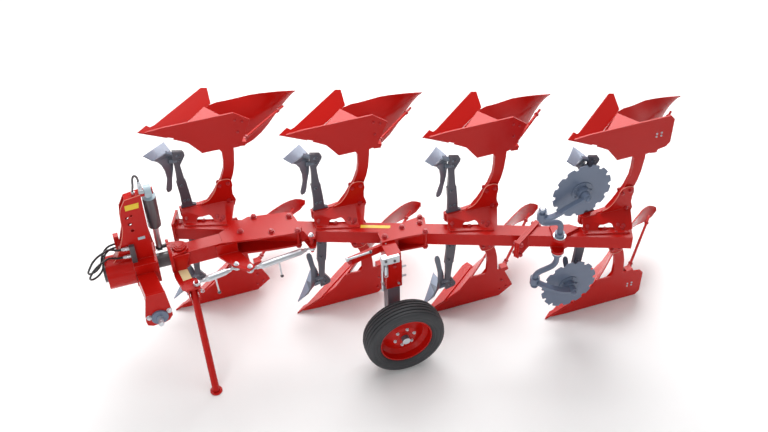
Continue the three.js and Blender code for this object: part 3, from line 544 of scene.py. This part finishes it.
def finishSkimmer(index, side):
    name = f"skimmer_{levelNames[side]}_{index + 1}"
    skimmer = bevelledNode(name, skimmerLook["board"], skimmerLook["edge"], 50)

    def local(x, y, z):
        along = x - layout["spacing"] * index
        across = y + layout["furrow"] * index - skimmerAside(index)
        return along, across, side * z + layout["tipHeight"]

    def onStalk(x, y, z):
        along, across, _ = local(x, y, z)
        return along > 181 and 2.5 < across < 27.5

    def onShare(x, y, z):
        along, across, height = local(x, y, z)
        return along < 186 and (across > 51 or height < 216 + (along - 56) * 0.163)

    paintWhere(skimmer, skimmerLook["stalk"], onStalk)
    paintWhere(skimmer, skimmerLook["share"], onShare)


for index, side in bodyPlaces:
    finishSkimmer(index, side)

# Depth wheel tyre with a ribbed tread
print("stage: tyre and wheel")
tyre = {
    "radius": 287, "crown": 9, "crownHalf": 60, "grooves": (-39, -13, 13, 39), "grooveWidth": 8,
    "grooveDepth": 10,
    "wall": [
        (188, -60), (196, -72), (206, -77), (212, -75.5), (216, -79), (232, -82), (238, -80), (242, -82),
        (256, -81), (266, -76), (273, -72), (275, -67), (271, -64.5), (272, -61.5), (278, -59),
    ],
}


def treadRadius(place):
    return tyre["radius"] - tyre["crown"] * (abs(place) / tyre["crownHalf"]) ** 2.5


def tyreOutline():
    tread = []
    for place in tyre["grooves"]:
        half = tyre["grooveWidth"] / 2
        rim = treadRadius(place)
        tread.append((rim - 0.6, place - half - 1.5))
        tread.append((rim - 2, place - half))
        tread.append((rim - tyre["grooveDepth"], place - half + 1.5))
        tread.append((rim - tyre["grooveDepth"], place + half - 1.5))
        tread.append((rim - 2, place + half))
        tread.append((rim - 0.6, place + half + 1.5))
    farWall = [(radius, -place) for radius, place in reversed(tyre["wall"])]
    return tyre["wall"] + tread + farWall


tyrePiece = turnedPiece(tyreOutline(), at(*layout["wheel"]), (0, 1, 0), "rubber", 96, True)
ridden(tyrePiece, "tyre_ribbed", "depth_wheel", replaced=["wheel_tyre"])

# Turnbuckles: two threaded rods in a tapered tube, with a turning handle
print("stage: turnbuckles")
turnbuckle = {
    "tube": 23, "thread": 9, "pitch": 4, "threadDepth": 1.4, "eye": 24, "pin": 12.8, "half": 11,
    "handle": (0.01, -0.01, -0.15), "handleAt": 0.45, "knob": 12,
}


def threadOutline(start, end, radius, pitch, depth):  # ridges round the rod stand for its thread
    count = int((end - start) / pitch)
    teeth = [(0, start)]
    for step in range(count):
        teeth.append((radius - depth, start + pitch * step))
        teeth.append((radius, start + pitch * (step + 0.5)))
    teeth.append((radius - depth, end))
    teeth.append((0, end))
    return teeth


def makeTurnbuckle(name, start, end):
    first = at(*start)
    last = at(*end)
    along = (last - first).normalized()
    length = (last - first).length * 1000
    tube, pin, eye, half = (turnbuckle[key] for key in ("tube", "pin", "eye", "half"))
    taper = [(8.5, 46), (13, 46), (14.5, 48), (14.5, 62), (16, 66), (tube - 1, 84), (tube, 88)]
    sleeve = taper + [(radius, length - place) for radius, place in reversed(taper)]
    parts = [turnedPiece(sleeve, first, along, "zinc", 48)]
    for low, high in ((20, 52), (length - 52, length - 20)):
        thread = threadOutline(
            low, high, turnbuckle["thread"], turnbuckle["pitch"], turnbuckle["threadDepth"])
        parts.append(turnedPiece(thread, first, along, "zinc", 24))
    ring = [
        (pin, 1.5 - half), (pin + 1.5, -half), (eye - 2, -half), (eye, 2 - half),
        (eye, half - 2), (eye - 2, half), (pin + 1.5, half), (pin, half - 1.5),
    ]
    for centre in (first, last):
        parts.append(turnedPiece(ring, centre, (0, 0, 1), "zinc", 36, True))
    middle = first + along * length * turnbuckle["handleAt"] / 1000
    collar = [(0, -tube - 7), (7, -tube - 7), (9, -tube - 5), (9, -tube + 4), (0, -tube + 4)]
    parts.append(turnedPiece(collar, middle, (0, 0, 1), "zinc", 24))
    tip = middle + Vector(turnbuckle["handle"])
    parts.append(rod(middle, tip, 6, "zinc", 20, 0.6))
    knobRadius = turnbuckle["knob"] / 1000
    bpy.ops.mesh.primitive_uv_sphere_add(radius=knobRadius, segments=24, ring_count=14, location=tip)
    knob = bpy.context.object
    applyPlace(knob)
    smooth(knob, 60)
    dress(knob, "barrelBlack")
    parts.append(knob)
    ridden(joined(parts), name + "_detail", "plough_frame", replaced=[name])


makeTurnbuckle("turnbuckle_front", (148, -560, -58), (435, -500, -62))
makeTurnbuckle("turnbuckle_rear", (515, -555, -62), (968, -488, -66))

# Threaded stays behind the mouldboards, with a nut at each end
print("stage: stays")
stay = {
    "start": (662, 32, 270), "end": (1050, 425, 345), "radius": 10.6, "pitch": 9, "threadDepth": 1.6,
    "nut": 17, "nutHeight": 14,
}


def makeStays():
    pieces = []
    for index, side in bodyPlaces:
        start = onBody(index, side, *stay["start"])
        end = onBody(index, side, *stay["end"])
        along = (end - start).normalized()
        length = (end - start).length * 1000
        thread = threadOutline(24, length - 70, stay["radius"], stay["pitch"], stay["threadDepth"])
        pieces.append(turnedPiece(thread, start, along, "redPaint", 16))
        for place in (26, 52, length - 82):
            low = start + along * place / 1000
            high = start + along * (place + stay["nutHeight"]) / 1000
            pieces.append(rod(low, high, stay["nut"], "boltRed", 6, 1))
    ridden(joined(pieces), "stay_threads", "plough_frame")


makeStays()

# Bolts: one hexagon head on its washer, copied to each place
print("stage: bolts")
bolt = {"across": 17, "head": 13, "washer": 20, "washerHeight": 3, "tip": 10}
studs = {"count": 6, "turn": 15, "radius": 72, "size": 0.62}
coulter = {"y": -1095, "stalkTop": 345, "hubX": 2658, "hubZ": 434, "boltRing": 59, "bolts": 5}


def makeBolt(finish, washerFinish):
    foot = Vector((0, 0, 0))
    washerTop = Vector((0, 0, bolt["washerHeight"] / 1000))
    washer = rod(foot, washerTop, bolt["washer"], washerFinish, 28, 0.5)
    top = bolt["washerHeight"] + bolt["head"]
    tip = bolt["tip"]
    head = rod(Vector((0, 0, 0.002)), Vector((0, 0, top / 1000)), bolt["across"], finish, 6, 1.4)
    end = [(0, top), (tip, top), (tip, top + 3), (tip - 2, top + 5), (0, top + 5)]
    cap = turnedPiece(end, foot, (0, 0, 1), finish, 20)
    return joined([washer, head, cap])


# The leaning plate of each leg bracket, by its corners at the first body
leanCorners = [
    Vector(corner) for corner in ((169, -84, 46), (450, -175, 46), (480, -12.3, 116), (176, -12.3, 129))
]


def onLean(u, v):
    low = leanCorners[0].lerp(leanCorners[1], u)
    high = leanCorners[3].lerp(leanCorners[2], u)
    return low.lerp(high, v)


def bracketBolts():
    places = []
    out = (leanCorners[1] - leanCorners[0]).cross(leanCorners[3] - leanCorners[0]).normalized()
    for index, side in bodyPlaces:
        for u, v in ((0.09, 0.45), (0.8, 0.36), (0.93, 0.3)):
            x, y, z = onLean(u, v)
            places.append((onStation(index, x, y, side * z), (out.x, out.y, side * out.z), 0.8))
        for x, z in ((206, 101), (262, 101), (462, 262), (522, 268), (512, 120)):
            places.append((onStation(index, x, -12.3, side * z), (0, -1, 0), 0.75))
            places.append((onStation(index, x, 30, side * z), (0, 1, 0), 0.75))
        for u in (0.1, 0.5, 0.9):
            x, y, _ = leanCorners[0].lerp(leanCorners[1], u)
            places.append((onStation(index, x, y + 30, side * 60), (0, 0, side), 0.75))
    return places


def plateBolts():
    places = []
    for x, y in ((640, -188), (890, -428), (720, -375), (873, -265), (520, -300)):
        for side in (1, -1):
            places.append((at(x, y, side * 64.3), (0, 0, side), 1.15))
    for x, y in ((1430, -690), (1705, -738), (1700, -640), (1570, -640), (1720, -590)):
        for side in (1, -1):
            places.append((at(x, y, side * 64.3), (0, 0, side), 1.1))
    for along in (160, 3150, 3215):
        for side in (1, -1):
            places.append((onBeam(along, 0, side * layout["beamHalf"]), (0, 0, side), 0.7))
    return places


def flangeBolts():  # both sides of the slanting flange between beam and extension
    places = []
    turn = beamTurn @ Matrix.Translation((2542, -40, 0)) @ Matrix.Rotation(math.radians(56.6), 4, "Z")
    out = turn.to_3x3() @ Vector((0, 1, 0))
    for along in (-105, 130):
        for z in (-45, 45):
            places.append((at(*(turn @ Vector((along, 18, z)))), out, 0.9))
            places.append((at(*(turn @ Vector((along, -18.3, z)))), -out, 0.9))
    return places


def skimmerBolts():
    places = []
    for index, side in bodyPlaces:
        aside = skimmerAside(index)
        for x, z in ((212, 650), (240, 650), (212, 515), (228, 300), (228, 258)):
            places.append((onBody(index, side, x, 3 + aside, z), (0, -1, 0), 0.6))
            places.append((onBody(index, side, x, 27 + aside, z), (0, 1, 0), 0.6))
    return places


def landsideBolts():  # the last body has bright ones instead
    places = []
    for index, side in bodyPlaces:
        if index < layout["bodies"] - 1:
            for x, z in ((632, 66), (678, 88), (640, 165)):
                places.append((onBody(index, side, x, 0, z), (0, -1, 0), 0.45))
    return places


def frameBolts():
    source = makeBolt("boltRed", "boltRed")
    made = copies(source, bracketBolts() + plateBolts() + flangeBolts() + landsideBolts())
    remove(source)
    source = makeBolt("stalkGrey", "boardGrey")
    made += copies(source, skimmerBolts())
    remove(source)
    ridden(joined(made), "frame_bolts", "plough_frame")


def silverBolts():
    source = makeBolt("zinc", "zinc")
    linkNuts = []
    for place in ((435, -500, -34), (515, -555, -34), (968, -488, 50), (148, -560, -70)):
        linkNuts.append((at(*place), (0, 0, 1), 0.9))
    for side in (1, -1):
        for x, z in ((655, 128), (655, 152), (690, 128), (690, 152)):
            linkNuts.append((onBody(layout["bodies"] - 1, side, x, 0, z), (0, -1, 0), 0.35))
    for side in (1, -1):
        linkNuts.append((at(2385, coulter["y"], side * coulter["stalkTop"]), (0, 0, side), 1))
        linkNuts.append((at(1420, -735.5, side * 40), (0, -1, 0), 0.5))
    made = copies(source, linkNuts)
    ridden(joined(made), "frame_nuts", "plough_frame")
    hitchPlaces = []
    for side in (1, -1):
        for x, z in ((-203, -165), (-66, -142)):
            hitchPlaces.append((at(x, axisY + side * 336, z), (0, side, 0), 0.95))
    made = copies(source, hitchPlaces)
    ridden(joined(made), "hitch_bolts", "headstock")
    places = []
    x, y, z = layout["wheel"]
    for step in range(studs["count"]):
        angle = math.radians(360 / studs["count"] * step + studs["turn"])
        right = studs["radius"] * math.cos(angle)
        up = studs["radius"] * math.sin(angle)
        places.append((at(x + right, y - 18, z + up), (0, -1, 0), studs["size"]))
    made = copies(source, places)
    ridden(joined(made), "wheel_nuts", "depth_wheel")
    remove(source)


frameBolts()
silverBolts()

# Blank plates
print("stage: blank plates")
labels = {"thick": 1.2, "gap": 0.4, "edge": 0.5}


def makeLabel(name, corners, finish, body):
    points = [at(*corner) for corner in corners]
    out = (points[1] - points[0]).cross(points[3] - points[0]).normalized()
    bpy.ops.mesh.primitive_plane_add(size=1)
    label = bpy.context.object
    for vertex, point in zip(label.data.vertices, (points[0], points[1], points[3], points[2])):
        vertex.co = point + out * labels["gap"] / 1000
    thick = label.modifiers.new("thick", "SOLIDIFY")
    thick.thickness = labels["thick"] / 1000
    thick.offset = 1
    pick(label)
    bpy.ops.object.modifier_apply(modifier="thick")
    softenEdges(label, labels["edge"])
    dress(label, finish)
    ridden(label, name, body)


towerLabel = [(-190, -353, 512), (-104, -353, 516), (-99, -353, 559), (-189, -353, 555)]
smallLabel = [(-153, -353, 250), (-107, -353, 252), (-107, -353, 275), (-153, -353, 272)]
armLabel = [(68, -499, -70), (129, -490, -70), (113, -377, -70), (53, -380, -70)]
beamLabel = [
    beamTurn @ Vector((along, across, layout["beamHalf"]))
    for along, across in ((1412, -6), (1616, -6), (1616, 22), (1412, 22))
]
makeLabel("plate_tower", towerLabel, "labelYellow", "headstock")
makeLabel("plate_small", smallLabel, "paleGrey", "headstock")
makeLabel("plate_arm", armLabel, "labelCream", "plough_frame")
makeLabel("plate_beam", beamLabel, "labelYellow", "plough_frame")

# Weld beads along the plates, in a pale red that paints a highlight on them; the beads on the tower stand
# for a painted highlight along its front edge
print("stage: welds")
welds = {
    "radius": 2.6,
    "gusset": [
        (330, 142), (370, 156), (402, 188), (430, 233), (450, 287), (466, 303), (530, 303), (548, 286),
    ],
    "towerFront": [
        (-182, 600), (-221, 526), (-232, 451), (-237, 355), (-267, 247), (-322, 127), (-366, 76),
        (-385, 40),
    ],
    "towerTop": [(-182, 600), (-78, 616)],
}


def bead(points, corners="AUTO"):
    line = smoothLine(points, welds["radius"], "weldHighlightRed", corners)
    line.data.bevel_resolution = 2
    line.data.resolution_u = 3
    pick(line)
    bpy.ops.object.convert(target="MESH")
    return bpy.context.object


def makeWeldHighlights():
    beads = []
    for index, side in bodyPlaces:
        beads.append(bead([onStation(index, x, -12.6, side * z) for x, z in welds["gusset"]]))
    ridden(joined(beads), "frame_weld_highlights", "plough_frame")
    # This line along the tower's front edge is a painted highlight
    front = bead([at(x, -353.2, z) for x, z in welds["towerFront"]])
    top = bead([at(x, -353.2, z) for x, z in welds["towerTop"]], "VECTOR")
    ridden(joined([front, top]), "tower_welds", "headstock")


makeWeldHighlights()

# Wheel arm fittings: the locking bracket, its pins and springs
print("stage: wheel arm fittings")
arm = {"x": 1437, "y": -856, "top": 44}
spindle = {
    "aside": 66, "y": -800, "foot": -330, "length": 290, "radius": 9.5, "pitch": 5, "threadDepth": 1.5,
}


def ringAt(centre, direction, radius, wire):
    bpy.ops.mesh.primitive_torus_add(
        major_radius=radius / 1000, minor_radius=wire / 1000, major_segments=32, minor_segments=10)
    ring = bpy.context.object
    ring.matrix_world = Matrix.Translation(centre) @ aim(direction)
    applyPlace(ring)
    smooth(ring, 60)
    dress(ring, "zinc")
    return ring


def springOutline(length, radius, wire, turns):  # its turns lie side by side, as closed rings
    points = []
    pitch = length / turns
    for turn in range(turns):
        for step in range(6):
            angle = math.pi * step / 6
            points.append((radius + wire * math.sin(angle), pitch * turn + wire * 2 * step / 6))
    return points


def makeArmFittings():
    x, y, top = arm["x"], arm["y"], arm["top"]
    parts = [
        block(at(x - 30, y - 17, top - 30), (126, 12, 58), "zinc", 3),
        block(at(x - 30, y + 2, top - 4), (126, 48, 10), "zinc", 3),
        block(at(x - 84, y - 2, top - 60), (10, 34, 110), "zinc", 3),
        rod(at(x - 66, y - 30, top - 20), at(x - 66, y + 10, top - 20), 9, "barrelBlack", 24, 1),
        rod(at(x - 4, y - 30, top - 34), at(x - 4, y + 10, top - 34), 9, "barrelBlack", 24, 1),
        turnedPiece(springOutline(78, 11, 3, 10), at(x - 62, y - 14, top - 150), (0, 0, 1), "zinc", 24),
        rod(at(x - 62, y - 14, top - 158), at(x - 62, y - 14, top - 56), 6, "zinc", 20, 0.6),
        rod(at(x, y - 14, -60), at(x, y + 2, -60), 13, "boltRed", 6, 1.2),
        rod(at(x + 30, y - 12, -230), at(x + 30, y + 2, -230), 9, "zinc", 6, 1),
        ringAt(at(x - 62, y - 14, top - 168), (0, 1, 0), 11, 3),
    ]
    for z in (-110, -200):
        parts.append(rod(at(x + 50, y + 26, z), at(x + 92, y + 26, z), 8, "zinc", 24, 1))
        parts.append(rod(at(x + 57, y + 26, z), at(x + 64, y + 26, z), 15, "zinc", 6, 1))
        parts.append(ringAt(at(x + 84, y + 26, z), (0, 0.3, 1), 10, 2.2))
    ridden(joined(parts), "arm_fittings", "wheel_arm")


def makeSpindle():
    x = arm["x"] - spindle["aside"]
    y = spindle["y"]
    thread = threadOutline(
        0, spindle["length"], spindle["radius"], spindle["pitch"], spindle["threadDepth"])
    parts = [
        turnedPiece(thread, at(x, y, spindle["foot"]), (0, 0, 1), "zinc", 20),
        block(at(x + 4, y, -45), (27, 31, 29), "zinc", 2),
        block(at(x + 4, y, -252), (27, 27, 19), "zinc", 2),
        rod(at(x, y, -40), at(x, y, -26), 15, "zinc", 6, 1),
    ]
    ridden(joined(parts), "spindle_detail", "wheel_arm", replaced=["depth_spindle"])


makeArmFittings()
makeSpindle()

# Small fittings on the head, the coulters and the tower
print("stage: small fittings")
fittings = {
    "pinCap": [
        (0, 0), (46, 0), (48, 2), (48, 5), (46, 7), (36, 7), (36, 12), (34, 14), (26, 14), (24, 18),
        (0, 18),
    ],
    "stalkCollar": [(35, 0), (43, 0), (44.5, 1.5), (44.5, 6), (43, 7.5), (35, 7.5)],
    "stalkCap": [(0, 0), (24, 0), (26, 2), (26, 8), (20, 12), (0, 13)],
    "discCap": [(0, 0), (30, 0), (32, 2), (32, 10), (26, 15), (16, 18), (0, 19)],
    "discFlange": [(45, 0), (72, 0), (74, 1.5), (74, 5), (72, 6.5), (45, 6.5)],
    "hoseSleeve": [(8, 0), (11, 0), (12.5, 1.5), (12.5, 16), (11, 18), (9.5, 18), (9.5, 26), (8, 27)],
}


def makeFittings():
    parts = [turnedPiece(fittings["pinCap"], at(95, axisY, 86), (0, 0, 1), "redPaint", 48)]
    parts.append(turnedPiece(fittings["pinCap"], at(95, axisY, -84), (0, 0, -1), "redPaint", 48))
    for side in (1, -1):
        clamp = at(2535, coulter["y"], side * 70.5)
        parts.append(turnedPiece(fittings["stalkCollar"], clamp, (0, 0, side), "zinc", 40, True))
        stalkTop = at(2385, coulter["y"], side * coulter["stalkTop"])
        parts.append(turnedPiece(fittings["stalkCap"], stalkTop, (0, 0, side), "discBlue", 32))
    parts.append(rod(at(1140, -745, -4), at(1316, -745, 14), 8, "zinc", 24, 1))
    parts.append(rod(at(1132, -745, -5), at(1150, -745, -3), 14, "zinc", 24, 2))
    parts.append(rod(at(1300, -745, 12), at(1314, -745, 14), 13, "barrelBlack", 6, 1))
    parts.append(rod(at(1160, -748, -40), at(1160, -712, -40), 15, "boltRed", 24, 2))
    for x in (72, 168):
        parts.append(rod(at(x, -532, -160), at(x + 10, -532, -160), 14, "zinc", 6, 1))
    parts.append(ringAt(at(178, -532, -172), (0, 1, 0), 12, 2.4))
    ridden(joined(parts), "frame_fittings", "plough_frame")


def makeCoulterFittings(level, side):
    hub = at(coulter["hubX"], coulter["y"], side * coulter["hubZ"])
    capFoot = hub + Vector((0, 0.014, 0))
    parts = [turnedPiece(fittings["discCap"], capFoot, (0, 1, 0), "discBlue", 40)]
    flangeFoot = hub + Vector((0, -0.003, 0))
    parts.append(turnedPiece(fittings["discFlange"], flangeFoot, (0, -1, 0), "discBlue", 48, True))
    source = makeBolt("discBlue", "discBlue")
    ring = []
    radius = coulter["boltRing"] / 1000
    for step in range(coulter["bolts"]):
        angle = math.radians(360 / coulter["bolts"] * step)
        offset = Vector((radius * math.cos(angle), -0.0095, radius * math.sin(angle)))
        ring.append((hub + offset, (0, -1, 0), 0.42))
    parts += copies(source, ring)
    ridden(joined(parts), f"disc_hub_{level}", f"coulter_disc_{level}")
    armBolts = copies(source, [(hub + Vector((0, -0.088, 0)), (0, -1, 0), 1.1)])
    remove(source)
    ridden(joined(armBolts), f"disc_bolt_{level}", f"coulter_arm_{level}")


def makeCouplings():
    parts = []
    for z in (210, 142):
        sleeve = turnedPiece(fittings["hoseSleeve"], at(-247.5, -366, z), (-1, 0, 0.12), "zinc", 32)
        parts.append(sleeve)
        parts.append(rod(at(-246, -366, z), at(-232, -366, z), 15, "zinc", 6, 1))
        parts.append(rod(at(-232, -366, z), at(-222, -366, z), 13, "zinc", 28, 1))
    parts.append(rod(at(-118, axisY, 607), at(-118, axisY, 627), 13, "zinc", 6, 1))
    parts.append(rod(at(-70, axisY, 680), at(-70, axisY, 700), 13, "zinc", 6, 1))
    parts.append(rod(at(-70, axisY, 650), at(-70, axisY - 30, 650), 9, "zinc", 24, 1))
    for side in (1, -1):
        pinEnd = axisY + side * 398
        parts.append(ringAt(at(-135, pinEnd, -190), (0, 1, 0), 13, 2.4))
        parts.append(rod(at(-135, pinEnd, -202), at(-135, pinEnd, -150), 4, "zinc", 16, 0.5))
    ridden(joined(parts), "headstock_fittings", "headstock")


makeFittings()
for side, level in ((1, "upper"), (-1, "lower")):  # here side 1 is up
    makeCoulterFittings(level, side)
makeCouplings()

# Floor, backdrop and light
print("stage: floor and light")
studio = {
    "floor": 60, "fadeFrom": 3.4, "fadeTo": 7, "sky": 0.36, "target": (0, 0, 0.8), "top": 260, "side": 160,
    "back": 1650,
}


def makeFloor():
    bpy.ops.mesh.primitive_plane_add(size=studio["floor"], location=(0, 0, cadBox[0][2] - 0.001))
    floor = bpy.context.object
    floor.name = "floor"
    material = bpy.data.materials.new("floorPaper")
    material.use_nodes = True
    tree = material.node_tree
    shader = tree.nodes["Principled BSDF"]
    shader.inputs["Roughness"].default_value = 0.9
    shader.inputs["Specular IOR Level"].default_value = 0.1
    cloud = addNode(tree, "ShaderNodeTexNoise")
    cloud.inputs["Scale"].default_value = 2
    tint = addNode(tree, "ShaderNodeMix", data_type="RGBA")
    tint.inputs[6].default_value = (0.93, 0.93, 0.93, 1)
    tint.inputs[7].default_value = (0.96, 0.96, 0.96, 1)
    place = addNode(tree, "ShaderNodeTexCoord")
    tree.links.new(place.outputs["Object"], cloud.inputs["Vector"])
    tree.links.new(cloud.outputs["Fac"], tint.inputs[0])
    tree.links.new(tint.outputs[2], shader.inputs["Base Color"])
    # Away from the plough the floor turns white
    reach = addNode(tree, "ShaderNodeVectorMath", operation="LENGTH")
    tree.links.new(place.outputs["Object"], reach.inputs[0])
    fade = addNode(tree, "ShaderNodeMapRange", interpolation_type="SMOOTHSTEP")
    fade.inputs["From Min"].default_value = studio["fadeFrom"]
    fade.inputs["From Max"].default_value = studio["fadeTo"]
    tree.links.new(reach.outputs["Value"], fade.inputs["Value"])
    rays = addNode(tree, "ShaderNodeLightPath")
    amount = addNode(tree, "ShaderNodeMath", operation="MULTIPLY")
    tree.links.new(rays.outputs["Is Camera Ray"], amount.inputs[0])
    tree.links.new(fade.outputs["Result"], amount.inputs[1])
    white = addNode(tree, "ShaderNodeEmission")
    mix = addNode(tree, "ShaderNodeMixShader")
    tree.links.new(amount.outputs["Value"], mix.inputs["Fac"])
    tree.links.new(shader.outputs["BSDF"], mix.inputs[1])
    tree.links.new(white.outputs["Emission"], mix.inputs[2])
    tree.links.new(mix.outputs["Shader"], tree.nodes["Material Output"].inputs["Surface"])
    floor.data.materials.append(material)


def makeSky():
    world = bpy.data.worlds.new("studio")
    bpy.context.scene.world = world
    world.use_nodes = True
    tree = world.node_tree
    tree.nodes.clear()
    rays = addNode(tree, "ShaderNodeLightPath")
    lit = addNode(tree, "ShaderNodeBackground")
    lit.inputs["Color"].default_value = (1, 1, 1, 1)
    lit.inputs["Strength"].default_value = studio["sky"]
    seen = addNode(tree, "ShaderNodeBackground")
    seen.inputs["Color"].default_value = (1, 1, 1, 1)
    mix = addNode(tree, "ShaderNodeMixShader")
    output = addNode(tree, "ShaderNodeOutputWorld")
    tree.links.new(rays.outputs["Is Camera Ray"], mix.inputs["Fac"])
    tree.links.new(lit.outputs["Background"], mix.inputs[1])
    tree.links.new(seen.outputs["Background"], mix.inputs[2])
    tree.links.new(mix.outputs["Shader"], output.inputs["Surface"])


def makeLight(place, target, size, power):  # a wide soft box
    bpy.ops.object.light_add(type="AREA", location=place)
    light = bpy.context.object
    light.data.shape = "RECTANGLE"
    light.data.size = size[0]
    light.data.size_y = size[1]
    light.data.energy = power
    light.rotation_euler = (Vector(target) - Vector(place)).to_track_quat("-Z", "Y").to_euler()


makeFloor()
makeSky()
makeLight((0.5, 1.5, 6.5), studio["target"], (6, 6), studio["top"])
makeLight((-5, -6, 4), studio["target"], (4, 4), studio["side"])
makeLight((3, 9, 9), studio["target"], (13, 7), studio["back"])
